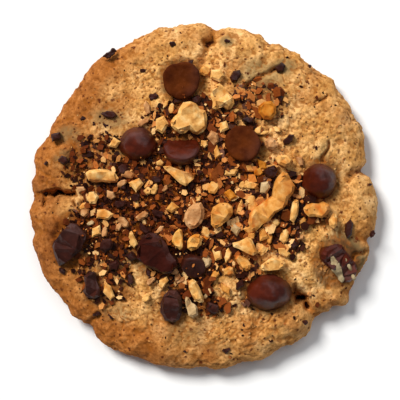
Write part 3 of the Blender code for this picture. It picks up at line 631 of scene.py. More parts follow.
# Grains on the dough: name, count, least and largest size, where they lie, how high their middle sits as a
# share of their size, their tones from dark to light, and whether they stay clear of the large pieces
GROUND_GRAINS = [
    ("nut_meal", 1100, (0.7, 2.2), "meal", 0.1, (0.0, 0.8), True),
    ("chocolate_crumbs", 1200, (0.9, 3.0), "meal", 0.12, (0.0, 1.0), True),
    ("dough_crumbs", 700, (0.4, 1.1), "bare dough", 0.03, (0.0, 0.8), False),
    ("chocolate_specks", 200, (0.35, 1.1), "everywhere", 0.02, (0.0, 0.5), False),
]

# Grains on top of those, in the same order of values
UPPER_GRAINS = [
    ("nut_shards", 430, (1.7, 3.7), "meal", 0.02, (0.18, 1.0), True),
    ("nut_shards", 420, (0.6, 1.6), "thin meal", 0.06, (0.1, 1.0), True),
    ("nut_shards", 900, (0.4, 1.0), "meal", 0.08, (0.1, 1.0), True),
    ("chocolate_meal", 420, (0.7, 2.2), "meal", 0.06, (0.0, 0.8), True),
]

# Grains on the large pieces, in the same order of values
DUST = ("nut_dust", 70, (0.4, 1.2), "crumbed", 0.1, (0.2, 0.6), False)

# The finish and the slot of each piece of grains
GRAIN_LOOKS = {
    "nut_meal": ("meal", "nut"),
    "chocolate_crumbs": ("crumbs", "chocolate"),
    "dough_crumbs": ("dough_crumbs", "dough"),
    "chocolate_specks": ("crumbs", "chocolate"),
    "nut_shards": ("meal", "nut"),
    "chocolate_meal": ("crumbs", "chocolate"),
    "nut_dust": ("meal", "nut"),
}

# Nut finishes: the tones of a picture's pixel where the nut is dark, usual, light and toasted
NUT_TONES = {
    "pale": ((200, 136, 66), (230, 172, 96), (244, 202, 136), (210, 126, 42)),
    "golden": ((186, 112, 40), (214, 146, 68), (228, 172, 100), (200, 100, 24)),
    "yellow": ((208, 136, 50), (228, 166, 84), (238, 188, 112), (208, 122, 30)),
    "orange": ((150, 82, 14), (190, 112, 26), (206, 140, 56), (160, 78, 8)),
    "brown": ((142, 86, 44), (196, 138, 86), (220, 170, 118), (160, 92, 40)),
    "white": ((162, 128, 84), (192, 158, 112), (214, 184, 140), (172, 120, 64)),
}

# Chocolate finishes: usual and dark tones, roughness, specular share, bump in millimetres and cloudiness
CHOCOLATE_TONES = {
    "matte": ((94, 43, 13), (54, 18, 5), 0.65, 0.05, 0.12, 0.15),
    "satin": ((86, 28, 9), (50, 13, 4), 0.36, 0.36, 0.07, 0.1),
    "cut": ((62, 24, 13), (36, 9, 3), 0.42, 0.4, 0.1, 0.2),
    # The dark finish is chocolate darkened to paint shade, for chip_lower
    "dark": ((58, 17, 7), (40, 9, 3), 0.4, 0.25, 0.06, 0.1),
}

# The camera looks straight down. The photograph's frame is 400 pixels of this size across
PIXEL = 0.2457
FRAME_PIXELS = 400
FRAME_MIDDLE = (-4 * PIXEL, -4 * PIXEL)
LENS = 150
SENSOR = 36

# How much brighter than itself the lights make a white level surface
LIGHT_LEVEL = 1.0

# Lights: name, where they stand in plan (0 at the right and 90 at the top), elevation and spread, all in
# degrees, strength, colour, and whether they show in mirrored light and on matte surfaces
SUNS = [
    ("key", 132, 46, 22, 3.75, (1.0, 0.985, 0.95), False, True),
    ("window", 58, 56, 44, 0.6, (0.95, 0.97, 1.0), True, True),
    ("sheen", 95, 14, 60, 0.8, (0.94, 0.95, 1.0), True, False),
]
SKY_COLOUR = (0.9, 0.97, 1.06, 1)
SKY_STRENGTH = 0.15


def bell(t):
    """1 in the middle, falling smoothly to 0 at one half width away."""
    return np.where(np.abs(t) < 1, 0.5 + 0.5 * np.cos(np.pi * np.clip(t, -1, 1)), 0.0)


def smooth_step(low, high, value):
    """0 below low and 1 above high, with a soft change between them."""
    t = np.clip((value - low) / (high - low), 0, 1)
    return t * t * (3 - 2 * t)


def stretch(angle, at, half_width):
    """1 at a direction given in degrees, falling to 0 a half width away. The angle is in radians."""
    away = (np.degrees(angle) - at + 180) % 360 - 180
    return bell(away / half_width)


def rim_radius(angle):
    """Distance from the middle to the rim, for an angle in radians."""
    radius = RIM_RADIUS
    for at, half_width, swell in RIM_SWELLS:
        radius = radius + swell * stretch(angle, at, half_width)
    return radius


def distance_to_line(x, y, start, end):
    """Distance in plan from a point to the stretch between two points."""
    run_x = end[0] - start[0]
    run_y = end[1] - start[1]
    along = ((x - start[0]) * run_x + (y - start[1]) * run_y) / (run_x**2 + run_y**2)
    along = np.clip(along, 0, 1)
    return np.hypot(x - start[0] - along * run_x, y - start[1] - along * run_y)


def waves(points, spacing):
    """Smooth noise with waves of about this spacing, one value for each point."""
    return np.array([noise.noise(Vector(point) / spacing) for point in points])


def waves_at_level(x, y, level, spacing):
    """The same noise at places in plan, read at one level."""
    return waves(np.stack([x, y, np.full(len(x), level)], axis=1), spacing)


def crumb(points, spacing):
    """Rounded grains of about this spacing: 0 in the creases between them and 1 on their tops."""
    values = []
    for point in points:
        nearest = noise.voronoi(Vector(point) / spacing)[0]
        values.append(min((nearest[1] - nearest[0]) / 0.5, 1.0))
    return np.array(values)


def creases(points, spacing):
    """Distance to the nearest boundary between cells of about this spacing, as a share of the spacing."""
    values = []
    for point in points:
        nearest = noise.voronoi(Vector(point) / spacing)[0]
        values.append((nearest[1] - nearest[0]) / 2)
    return np.array(values)


def relief(x, y):
    """Cracks, mounds, lumps and crags of the dough at a place, as a height over its plain dome."""
    x = np.atleast_1d(x)
    y = np.atleast_1d(y)
    height = np.zeros(len(x))
    wandered_x = x + CRACK_WANDER * waves_at_level(x, y, WANDER_LEVELS[0], CRACK_WAVES)
    wandered_y = y + CRACK_WANDER * waves_at_level(x, y, WANDER_LEVELS[1], CRACK_WAVES)
    for start, end, half_width, depth in CRACKS:
        height -= depth * bell(distance_to_line(wandered_x, wandered_y, start, end) / half_width)
    for (at_x, at_y), (half_x, half_y), rise in MOUNDS:
        height += rise * bell(np.hypot((x - at_x) / half_x, (y - at_y) / half_y))
    lumps = waves_at_level(x, y, LUMP_LEVEL, LUMP_SPACING)
    crags = waves_at_level(x, y, CRAG_LEVEL, CRAG_SPACING)
    return height + LUMP_HEIGHT * lumps + CRAG_HEIGHT * crags


def dome_height(share):
    """Height of the plain top at a share of the way from the middle to the shoulder."""
    return SHOULDER_HEIGHT + (MIDDLE_HEIGHT - SHOULDER_HEIGHT) * (1 - share**2)


def top_height(x, y):
    """Height of the dough's top at a place inside its shoulder."""
    shoulder = rim_radius(math.atan2(y, x)) - SHOULDER_INSET
    share = min(math.hypot(x, y) / shoulder, 1.0)
    return float(dome_height(share) + relief(x, y)[0])


def on_dough(ball):
    """Places on the dough's surface that answer to points of a ball, and the way the surface faces there."""
    angle = np.arctan2(ball[:, 1], ball[:, 0])
    rim = rim_radius(angle)
    outward = np.stack([np.cos(angle), np.sin(angle), np.zeros(len(angle))], axis=1)
    upward = np.array([0.0, 0.0, 1.0])
    passed = (1 - ball[:, 2]) / 2
    share = np.sqrt(np.clip(passed / TOP_SHARE, 0, 1))
    turn = np.pi * np.clip((passed - TOP_SHARE) / RIM_SHARE, 0, 1)
    on_top = passed < TOP_SHARE
    on_base = passed >= TOP_SHARE + RIM_SHARE
    upper = turn < np.pi / 2
    inset = np.where(upper, SHOULDER_INSET, FOOT_INSET) * (1 - np.sin(turn))
    reach = np.where(upper, SHOULDER_HEIGHT - WIDEST_HEIGHT, WIDEST_HEIGHT + BASE_SINK)
    base_share = np.sqrt(np.clip((1 - passed) / (1 - TOP_SHARE - RIM_SHARE), 0, 1))
    radius = np.where(on_top, share * (rim - SHOULDER_INSET), rim - inset)
    radius = np.where(on_base, base_share * (rim - FOOT_INSET), radius)
    height = np.where(on_top, dome_height(share), WIDEST_HEIGHT + reach * np.cos(turn))
    places = outward * radius[:, None] + upward * height[:, None]
    facing = outward * np.sin(turn)[:, None] + upward * np.cos(turn)[:, None]
    fade = np.where(on_top, 1.0, np.maximum(np.cos(turn), 0.0))
    crags = CRAG_HEIGHT * waves(places, CRAG_SPACING) * np.where(on_base, 0.0, 1 - fade)
    places += facing * crags[:, None]
    places[:, 2] += fade * relief(places[:, 0], places[:, 1])
    return places, facing


def mesh_object(name, bm):
    """Turn a mesh made in millimetres into an object in metres that stands for nothing yet."""
    bmesh.ops.scale(bm, vec=(MM, MM, MM), verts=bm.verts)
    mesh = bpy.data.meshes.new(name)
    bm.to_mesh(mesh)
    bm.free()
    made = bpy.data.objects.new(name, mesh)
    bpy.context.scene.collection.objects.link(made)
    return made


def finish_piece(piece, material, slot, *nodes):
    """Give a piece its material and its place in the frame."""
    piece.data.materials.clear()
    piece.data.materials.append(material)
    piece.data.shade_smooth()
    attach(piece, BODY)
    if nodes:
        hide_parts(*nodes)


def set_values(mesh, name, values):
    """Store one number for each point of a mesh, for its material to read."""
    attribute = mesh.attributes.new(name, "FLOAT", "POINT")
    attribute.data.foreach_set("value", np.asarray(values, dtype=np.float32))


def points_of(mesh):
    """Points of a finished mesh, back in millimetres."""
    points = np.empty(len(mesh.vertices) * 3)
    mesh.vertices.foreach_get("co", points)
    return points.reshape(-1, 3) / MM


def hollows(mesh):
    """How far each point lies below its neighbours: above 0 in pits, below 0 on crests."""
    points = points_of(mesh)
    normals = np.empty(len(mesh.vertices) * 3)
    mesh.vertices.foreach_get("normal", normals)
    normals = normals.reshape(-1, 3)
    edges = np.empty(len(mesh.edges) * 2, dtype=np.int64)
    mesh.edges.foreach_get("vertices", edges)
    ends = np.concatenate([edges.reshape(-1, 2), edges.reshape(-1, 2)[:, ::-1]])
    count = np.bincount(ends[:, 0], minlength=len(points))[:, None]
    smoothed = points
    for round_of_smoothing in range(6):
        total = np.zeros_like(points)
        for axis in range(3):
            total[:, axis] = np.bincount(ends[:, 0], smoothed[ends[:, 1], axis], len(points))
        smoothed = total / np.maximum(count, 1)
    return ((smoothed - points) * normals).sum(axis=1)


def patch_share(x, y, middle, half_lengths, turn):
    """How far inside a turned oval a place lies: 1 in its middle, 0 at its edge and below 0 outside."""
    turn = math.radians(turn)
    along = (x - middle[0]) * math.cos(turn) + (y - middle[1]) * math.sin(turn)
    across = -(x - middle[0]) * math.sin(turn) + (y - middle[1]) * math.cos(turn)
    return 1 - np.hypot(along / half_lengths[0], across / half_lengths[1])


def meal_cover(x, y):
    """How thickly nut and chocolate meal lies at a place, from 0 to 1."""
    cover = np.zeros(np.shape(x))
    for middle, half_lengths, turn, thickness in MEAL_PATCHES:
        inside = patch_share(x, y, middle, half_lengths, turn)
        cover = np.maximum(cover, thickness * smooth_step(-0.05, 0.3, inside))
    for middle, half_lengths, turn in BARE_PATCHES:
        cover = cover * (1 - smooth_step(0.0, 0.4, patch_share(x, y, middle, half_lengths, turn)))
    return cover


def seen(red, green, blue):
    """Colour of a surface that looks like this under the lights, from the values of a picture's pixel."""
    shares = [value / 255 for value in (red, green, blue)]
    linear = [s / 12.92 if s <= 0.04045 else ((s + 0.055) / 1.055) ** 2.4 for s in shares]
    return (*[value / LIGHT_LEVEL for value in linear], 1)


class Finish:
    """A material being built from nodes, with short names for the nodes that this cookie needs."""

    def __init__(self, name, roughness, specular=0.4):
        self.material = bpy.data.materials.new(name)
        self.material.use_nodes = True
        self.nodes = self.material.node_tree.nodes
        self.links = self.material.node_tree.links
        self.shader = self.nodes["Principled BSDF"]
        self.shader.inputs["Roughness"].default_value = roughness
        self.shader.inputs["Specular IOR Level"].default_value = specular
        self.place = self.nodes.new("ShaderNodeTexCoord").outputs["Object"]

    def put(self, socket, value):
        """Link a socket to another's output, or set it."""
        if isinstance(value, bpy.types.NodeSocket):
            self.links.new(value, socket)
        else:
            socket.default_value = value

    def noise(self, spacing, detail=3.0, roughness=0.55):
        """Cloudy noise with patches of about this size in millimetres."""
        node = self.nodes.new("ShaderNodeTexNoise")
        self.links.new(self.place, node.inputs["Vector"])
        node.inputs["Scale"].default_value = 1 / (spacing * MM)
        node.inputs["Detail"].default_value = detail
        node.inputs["Roughness"].default_value = roughness
        return node.outputs["Fac"]

    def cells(self, spacing):
        """Scattered cells of about this spacing: the distance to each middle, and its random colour."""
        node = self.nodes.new("ShaderNodeTexVoronoi")
        self.links.new(self.place, node.inputs["Vector"])
        node.inputs["Scale"].default_value = 1 / (spacing * MM)
        return node.outputs["Distance"], node.outputs["Color"]

    def value(self, name):
        """A number stored on the piece."""
        node = self.nodes.new("ShaderNodeAttribute")
        node.attribute_name = name
        return node.outputs["Fac"]

    def between(self, value, low, high):
        """0 where a value is at low, 1 where it is at high."""
        node = self.nodes.new("ShaderNodeMapRange")
        self.put(node.inputs["Value"], value)
        node.inputs["From Min"].default_value = low
        node.inputs["From Max"].default_value = high
        return node.outputs["Result"]

    def times(self, first, second):
        node = self.nodes.new("ShaderNodeMath")
        node.operation = "MULTIPLY"
        self.put(node.inputs[0], first)
        self.put(node.inputs[1], second)
        return node.outputs[0]

    def plus(self, first, second):
        node = self.nodes.new("ShaderNodeMath")
        self.put(node.inputs[0], first)
        self.put(node.inputs[1], second)
        return node.outputs[0]

    def mix(self, share, first, second, blend="MIX"):
        """Second colour over the first, as strongly as the share says."""
        node = self.nodes.new("ShaderNodeMix")
        node.data_type = "RGBA"
        node.blend_type = blend
        self.put(node.inputs["Factor"], share)
        self.put(node.inputs[6], first)
        self.put(node.inputs[7], second)
        return node.outputs[2]

    def ramp(self, value, stops):
        """Colour that changes with a value, through stops of place and colour."""
        node = self.nodes.new("ShaderNodeValToRGB")
        self.links.new(value, node.inputs["Fac"])
        elements = node.color_ramp.elements
        while len(elements) < len(stops):
            elements.new(0.5)
        for element, (place, colour) in zip(elements, stops):
            element.position = place
            element.color = colour
        return node.outputs["Color"]

    def bump(self, height, distance, strength=1.0):
        """Fine roughness of the surface, its height given in millimetres."""
        node = self.nodes.new("ShaderNodeBump")
        node.inputs["Strength"].default_value = strength
        node.inputs["Distance"].default_value = distance * MM
        self.links.new(height, node.inputs["Height"])
        self.links.new(node.outputs["Normal"], self.shader.inputs["Normal"])

    def colour(self, colour):
        self.links.new(colour, self.shader.inputs["Base Color"])
        return self.material


def dough_finish():
    """Golden crumb, browner where it baked more, darkened by chocolate under the meal, with dark specks and
    painted shade.
    """
    dough = Finish("baked_dough", 0.85, 0.1)
    golden = dough.ramp(
        dough.noise(5.0, 4.0),
        [(0.3, seen(214, 156, 84)), (0.5, seen(236, 182, 112)), (0.72, seen(250, 208, 146))],
    )
    # Brown colour of baking, which also paints the shade of the rim and of hollows
    browned_and_shaded = dough.ramp(
        dough.noise(2.6, 4.0),
        [(0.3, seen(154, 92, 40)), (0.55, seen(184, 116, 56)), (0.75, seen(206, 140, 78))],
    )
    colour = dough.mix(dough.value("bake_and_shade"), golden, browned_and_shaded)
    # Dark crust, partly painted shade on the left and lower rim
    dark_crust_and_shade = dough.ramp(dough.noise(1.8, 4.0), [(0.35, seen(104, 56, 28)), (0.62, seen(162, 100, 52))])
    colour = dough.mix(dough.value("dark_bake_and_shade"), colour, dark_crust_and_shade)
    lumps = dough.ramp(
        dough.noise(2.0, 4.0, 0.6),
        [(0.36, (0.78, 0.7, 0.58, 1)), (0.52, (1, 1, 1, 1)), (0.66, (1.08, 1.08, 1.1, 1))],
    )
    colour = dough.mix(0.8, colour, lumps, "MULTIPLY")
    fine = dough.ramp(
        dough.noise(0.8, 3.0, 0.7),
        [(0.34, (0.54, 0.45, 0.34, 1)), (0.49, (0.97, 0.96, 0.94, 1)), (0.64, (1.14, 1.14, 1.14, 1))],
    )
    colour = dough.mix(0.85, colour, fine, "MULTIPLY")
    distance, random_colour = dough.cells(1.1)
    grain = dough.ramp(
        random_colour, [(0.25, (0.78, 0.71, 0.6, 1)), (0.5, (1, 1, 1, 1)), (0.8, (1.08, 1.08, 1.1, 1))]
    )
    colour = dough.mix(0.7, colour, grain, "MULTIPLY")
    colour = dough.mix(dough.value("smear"), colour, seen(132, 110, 72))
    # Chocolate staining with painted shade: under the meal and in a ring round each chocolate piece
    stain_and_shade_colour = dough.ramp(
        dough.noise(1.4, 3.0), [(0.32, seen(44, 15, 4)), (0.52, seen(94, 43, 11)), (0.7, seen(154, 84, 28))]
    )
    colour = dough.mix(dough.value("cocoa_and_shade"), colour, stain_and_shade_colour)
    # Painted shade: creases of the dough are darkened in the colour, the deepest hollows nearly black
    crease_shade = dough.between(dough.value("hollow"), 0.0, 0.10)
    colour = dough.mix(dough.times(crease_shade, 0.65), colour, seen(150, 86, 28))
    deep_shade = dough.between(dough.value("hollow"), 0.22, 0.5)
    colour = dough.mix(deep_shade, colour, seen(44, 16, 4))
    ragged = dough.times(dough.noise(0.35, 2.0), 0.3)
    for spacing, size, rarity in ((1.2, 0.32, 0.57), (2.3, 0.27, 0.52), (3.1, 0.25, 0.50)):
        distance, random_colour = dough.cells(spacing)
        rare = dough.between(random_colour, rarity, rarity + 0.06)
        inside = dough.between(dough.plus(distance, ragged), size + 0.1, size * 0.5 + 0.1)
        colour = dough.mix(dough.times(rare, inside), colour, seen(92, 42, 20))
    dough.bump(dough.noise(0.45, 3.0, 0.7), 0.10)
    return dough.colour(colour)


def smear_finish():
    """Dough greyed and turned brown by the chocolate under it."""
    smear = Finish("smeared_dough", 0.7, 0.15)
    colour = smear.ramp(
        smear.noise(1.6, 4.0),
        [(0.3, seen(126, 102, 72)), (0.5, seen(172, 150, 112)), (0.7, seen(202, 180, 140))],
    )
    smear.bump(smear.noise(0.5, 3.0), 0.1)
    return smear.colour(colour)


def chocolate_finish(name, main, dark, roughness, specular, bump, bloom_share):
    """Chocolate with cloudy lighter blooms, a greyish highlight painted on one side as sheen, and a slightly
    uneven surface.
    """
    chocolate = Finish(name, roughness, specular)
    colour = chocolate.ramp(chocolate.noise(3.6, 4.0), [(0.3, dark), (0.68, main)])
    cloud = chocolate.between(chocolate.noise(0.9, 4.0, 0.7), 0.56, 0.85)
    colour = chocolate.mix(chocolate.times(cloud, bloom_share), colour, seen(112, 76, 68))
    # Painted sheen: a greyish highlight painted into the colour on the side that set_side marked
    patches = chocolate.between(chocolate.noise(2.4, 4.0, 0.6), 0.2, 0.7)
    painted_sheen = chocolate.times(chocolate.value("painted_sheen"), patches)
    colour = chocolate.mix(chocolate.times(painted_sheen, 0.6), colour, seen(98, 62, 54))
    chocolate.bump(chocolate.noise(0.8, 4.0, 0.65), bump)
    return chocolate.colour(colour)


def nut_finish(name, dark, main, light, toasted):
    """Chopped nut: mealy broken faces, toasted towards orange and brown in places, painted shade in hollows,
    a browner side of papery coat and painted shade.
    """
    nut = Finish(name, 0.6, 0.2)
    colour = nut.ramp(nut.noise(1.8, 4.0), [(0.3, dark), (0.5, main), (0.7, light)])
    toasted_part = nut.between(nut.noise(3.4, 2.0), 0.56, 0.68)
    colour = nut.mix(nut.times(toasted_part, 0.75), colour, toasted)
    # Browner side: partly the papery brown coat of the nut, partly painted shade
    skin_and_shade = nut.times(nut.value("skin_and_shade"), nut.between(nut.noise(1.2, 3.0), 0.3, 0.5))
    colour = nut.mix(skin_and_shade, colour, seen(172, 88, 32))
    # Painted shade: the nut's hollows are darkened in the colour
    pit_shade = nut.between(nut.value("hollow"), 0.03, 0.12)
    colour = nut.mix(nut.times(pit_shade, 0.5), colour, seen(160, 100, 46))
    distance, random_colour = nut.cells(1.6)
    spot = nut.times(nut.between(random_colour, 0.72, 0.74), nut.between(distance, 0.16, 0.1))
    colour = nut.mix(spot, colour, seen(120, 62, 26))
    nut.bump(nut.noise(0.5, 3.0, 0.6), 0.07)
    return nut.colour(colour)


def meal_finish(name, stops, roughness):
    """Loose grains, each with its own tone."""
    meal = Finish(name, roughness, 0.15)
    colour = meal.ramp(meal.value("tone"), stops)
    fine = meal.ramp(meal.noise(0.5, 2.0), [(0.3, (0.7, 0.66, 0.6, 1)), (0.6, (1.05, 1.05, 1.05, 1))])
    colour = meal.mix(0.7, colour, fine, "MULTIPLY")
    meal.bump(meal.noise(0.3, 2.0), 0.04)
    return meal.colour(colour)


def make_dough(material):
    """Fine dough: the source's form with its crumb as real relief, over a flat base."""
    bm = bmesh.new()
    bmesh.ops.create_icosphere(bm, subdivisions=DOUGH_FINENESS, radius=1.0)
    ball = np.array([vert.co[:] for vert in bm.verts])
    places, facing = on_dough(ball)
    rough = 0.55 + 0.9 * np.clip(waves(places, 11.0) + 0.5, 0, 1)
    height = np.zeros(len(places))
    for spacing, rise in CRUMB_LAYERS:
        height += rise * (crumb(places, spacing) - 0.7)
    for spacing, rise in WAVE_LAYERS:
        height += rise * waves(places + 20.0, spacing)
    height *= rough
    wander = np.stack([waves(places + shift, CRAZE_WAVES) for shift in (5.0, 35.0, 65.0)], axis=1)
    wandered = places + CRAZE_WANDER * wander
    crazed = smooth_step(-0.05, 0.25, waves(places + 90.0, 9.0))
    height -= CRAZE_DEPTH * crazed * (1 - smooth_step(0.0, CRAZE_WIDTH, creases(wandered, CRAZE_SPACING)))
    height -= PIT_DEPTH * smooth_step(0.42, 0.6, waves(places + 70.0, PIT_SPACING))
    level = np.clip(-facing[:, 2], 0, 1)
    places += facing * (height * (1 - level))[:, None]
    places[:, 2] = np.maximum(places[:, 2], 0.0) + level**4 * np.clip(-height, 0, BASE_RELIEF) * 0.6
    for vert, place in zip(bm.verts, places):
        vert.co = place
    dough = mesh_object("dough_baked", bm)
    thin = dough.modifiers.new("thin", "DECIMATE")
    thin.ratio = DOUGH_KEPT
    depsgraph = bpy.context.evaluated_depsgraph_get()
    thinned = bpy.data.meshes.new_from_object(dough.evaluated_get(depsgraph))
    for vert in thinned.vertices:
        vert.co.z = max(vert.co.z, 0.0)
    dough.modifiers.clear()
    dough.data = thinned
    store_dough_tints(thinned)
    finish_piece(dough, material, "dough", "dough")
    return dough


def smear_cover(x, y):
    """How strongly the dough at a place is greyed by melted chocolate."""
    smear = np.zeros(np.shape(x))
    for middle, half_lengths, turn, strength in SMEARS:
        inside = patch_share(x, y, middle, half_lengths, turn)
        smear = np.maximum(smear, strength * smooth_step(0.0, 0.6, inside))
    return smear


def chocolate_spots():
    """Middle and half lengths of each chip and chunk, seen from above."""
    spots = [(place, length / 2, width / 2) for name, place, length, width, *rest in CHIPS]
    for name, height, lift, lean, heading, outline in CHUNKS:
        half_x, half_y = [(max(values) - min(values)) / 2 for values in zip(*outline)]
        spots.append((outline_middle(outline), half_x, half_y))
    return spots


def store_dough_tints(mesh):
    """Work out where baking and painted shade brown the dough, where chocolate and painted shade darken it,
    where it is smeared with chocolate and pitted.
    """
    points = points_of(mesh)
    x, y, z = points.T
    angle = np.arctan2(y, x)
    out = np.hypot(x, y) / rim_radius(angle)
    cloudy = waves(points, 6.0)
    hollow = hollows(mesh)
    # Browning with painted shade: browner out at the rim and towards the side away from the palest side
    toasted_and_shaded_side = 0.5 - 0.5 * np.cos(angle - math.radians(PALE_AND_LIT_SIDE))
    bake_and_shade = smooth_step(0.62, 0.97, out + 0.12 * cloudy) * (0.2 + 0.95 * toasted_and_shaded_side)
    bake_and_shade = np.maximum(bake_and_shade, 0.75 * smooth_step(3.5, 0.4, z))
    at_rim = smooth_step(0.72, 0.95, out + 0.1 * cloudy)
    bake_and_shade += 0.24 * bell((y + 30) / 12) * bell((x + 6) / 36)
    for at, half_width, start, full, strength in BROWN_STRETCHES:
        bake_and_shade += strength * smooth_step(start, full, out) * stretch(angle, at, half_width)
    at, half_width, strength = PALE_STRETCH
    bake_and_shade -= strength * at_rim * stretch(angle, at, half_width)
    # Darker rim stretches, partly baked crust and partly painted shade
    dark_bake_and_shade = sum(strength * at_rim * stretch(angle, at, half) for at, half, strength in DARK_STRETCHES)
    dark_bake_and_shade = np.maximum(dark_bake_and_shade, 0.55 * bell((x + 30) / 13) * bell((y - 1) / 22)) * (0.6 + 0.8 * cloudy)
    bake_and_shade += 0.30 * smooth_step(0.1, 0.5, cloudy)
    upward = z > 5.0
    # Painted shade: hollows get the browner colour
    bake_and_shade = np.maximum(bake_and_shade, 0.5 * smooth_step(0.15, 0.9, hollow))
    cover = meal_cover(x + 1.5 * waves(points, 3.0), y + 1.5 * waves(points + 30.0, 3.0))
    smear = smear_cover(x, y)
    set_values(mesh, "bake_and_shade", np.clip(bake_and_shade, 0, 1))
    set_values(mesh, "dark_bake_and_shade", np.clip(dark_bake_and_shade, 0, 1))
    # Chocolate staining under the meal, dark enough to stand also for the painted shade in the gaps between
    # its grains
    stain_and_shade = np.clip(cover * 1.1, 0, 1)
    # A dark ring round each chocolate piece: partly melted chocolate, partly a painted shadow where it sits
    # in the dough
    for (at_x, at_y), half_x, half_y in chocolate_spots():
        away = np.hypot((x - at_x) / half_x, (y - at_y) / half_y)
        stain_and_shade = np.maximum(stain_and_shade, 0.75 * smooth_step(1.4, 1.05, away + 0.12 * cloudy))
    set_values(mesh, "cocoa_and_shade", stain_and_shade * upward)
    set_values(mesh, "smear", smear * upward)
    set_values(mesh, "hollow", hollow)


def placed(place, lift, heading, lean):
    """Transform that sets a piece on the dough and leans it down towards a heading, all angles in degrees."""
    at = Vector((*place, top_height(*place) + lift))
    facing = Matrix.Rotation(math.radians(heading), 4, "Z")
    return Matrix.Translation(at) @ facing @ Matrix.Rotation(math.radians(lean), 4, "Y") @ facing.inverted()


def roughen(bm, layers):
    """Push a closed surface in and out along its normals by layers of noise of given spacing and height."""
    bm.normal_update()
    moves = []
    for vert in bm.verts:
        push = sum(height * noise.noise(vert.co / spacing) for spacing, height in layers)
        moves.append(vert.normal * push)
    for vert, move in zip(bm.verts, moves):
        vert.co += move


def chip_mesh(length, width, height):
    """Turned chocolate chip, base at the bottom: a rounded foot under a dome with a soft tip."""
    foot = 0.1 * height
    profile = [(0.0, height)]
    for step in range(1, CHIP_STEPS + 1):
        turn = math.pi / 2 * step / CHIP_STEPS
        reach = length / 2 * math.sin(turn) ** CHIP_SIDES
        profile.append((reach, foot + (height - foot) * math.cos(turn) ** CHIP_TIP))
    profile += [(across * length, up * height) for across, up in CHIP_UNDERSIDE]
    profile += [(0.0, 0.03 * height)]
    bm = bmesh.new()
    verts = [bm.verts.new((x, 0, z)) for x, z in profile]
    edges = [bm.edges.new(pair) for pair in zip(verts, verts[1:])]
    bmesh.ops.spin(
        bm, geom=verts + edges, cent=(0, 0, 0), axis=(0, 0, 1), angle=2 * math.pi, steps=CHIP_TURNS,
        use_merge=True,
    )
    bmesh.ops.remove_doubles(bm, verts=bm.verts, dist=0.001)
    bmesh.ops.recalc_face_normals(bm, faces=bm.faces)
    bmesh.ops.translate(bm, vec=(0, 0, -0.45 * height), verts=bm.verts)
    bmesh.ops.scale(bm, vec=(1, width / length, 1), verts=bm.verts)
    return bm


def outline_middle(outline):
    """Mean place of an outline's corners."""
    return tuple(sum(values) / len(outline) for values in zip(*outline))


def shard_mesh(outline, height, rng, worn=True):
    """Broken piece: an outline seen from above, drawn up to a sloping, uneven top, its rim worn or sharp."""
    middle_x, middle_y = outline_middle(outline)
    bm = bmesh.new()
    corners = [bm.verts.new((x - middle_x, y - middle_y, 0)) for x, y in outline]
    foot = bm.faces.new(corners)
    drawn = bmesh.ops.extrude_face_region(bm, geom=[foot])
    top = [item for item in drawn["geom"] if isinstance(item, bmesh.types.BMVert)]
    across = max(max(abs(vert.co.x), abs(vert.co.y)) for vert in top)
    slope = [rng.uniform(-SHARD_SLOPE, SHARD_SLOPE) * height / across for axis in range(2)]
    for vert in top:
        uneven = rng.uniform(-SHARD_UNEVEN, SHARD_UNEVEN) * height
        vert.co.z = height / 2 + slope[0] * vert.co.x + slope[1] * vert.co.y + uneven
    bmesh.ops.scale(bm, vec=(SHARD_FOOT, SHARD_FOOT, 1), verts=corners)
    bmesh.ops.translate(bm, vec=(0, 0, -height / 2), verts=corners)
    bmesh.ops.recalc_face_normals(bm, faces=bm.faces)
    rim = [edge for edge in bm.edges if all(vert in top for vert in edge.verts)]
    if worn:
        bmesh.ops.bevel(
            bm, geom=rim, offset=SHARD_WEAR * height, segments=1, profile=0.5, affect="EDGES", material=-1,
            clamp_overlap=True
        )
    return bm


def bit_outline(length, width, rng):
    """Corners of a small piece about its middle, at uneven angles and distances."""
    corners = rng.randint(*BIT_CORNERS)
    outline = []
    for corner in range(corners):
        angle = 2 * math.pi * (corner + rng.uniform(-BIT_WANDER, BIT_WANDER)) / corners
        reach = rng.uniform(*BIT_REACH)
        outline.append((length * reach * math.cos(angle), width * reach * math.sin(angle)))
    return outline


def ragged_outline(length, width, rng, nearest):
    """Outline of a scrap with more corners, each at least this share of its size from the middle."""
    corners = rng.randint(6, 9)
    outline = []
    for corner in range(corners):
        angle = 2 * math.pi * (corner + rng.uniform(-BIT_WANDER, BIT_WANDER)) / corners
        reach = rng.uniform(nearest, 0.58)
        outline.append((length * reach * math.cos(angle), width * reach * math.sin(angle)))
    return outline


def drop_folds(bm):
    """Remove pairs of faces that share all their corners, as the cutting of a thin face can leave them."""
    faces_of = {}
    for face in bm.faces:
        faces_of.setdefault(frozenset(face.verts), []).append(face)
    folds = [face for faces in faces_of.values() if len(faces) > 1 for face in faces]
    bmesh.ops.delete(bm, geom=folds, context="FACES")


def give_points(bm, spacing, smoothing=0):
    """Give a piece's wide faces points of their own, this far apart, and soften its ridges."""
    bmesh.ops.remove_doubles(bm, verts=bm.verts, dist=0.002)
    bmesh.ops.triangulate(bm, faces=bm.faces)
    drop_folds(bm)
    for round_of_cuts in range(6):
        long_edges = [edge for edge in bm.edges if edge.calc_length() > 2 * spacing]
        if not long_edges:
            break
        bmesh.ops.subdivide_edges(bm, edges=long_edges, cuts=1)
        bmesh.ops.triangulate(bm, faces=bm.faces)
        drop_folds(bm)
    for round_of_smoothing in range(smoothing):
        bmesh.ops.smooth_vert(
            bm, verts=bm.verts, factor=0.5, use_axis_x=True, use_axis_y=True, use_axis_z=True
        )
    bmesh.ops.recalc_face_normals(bm, faces=bm.faces)


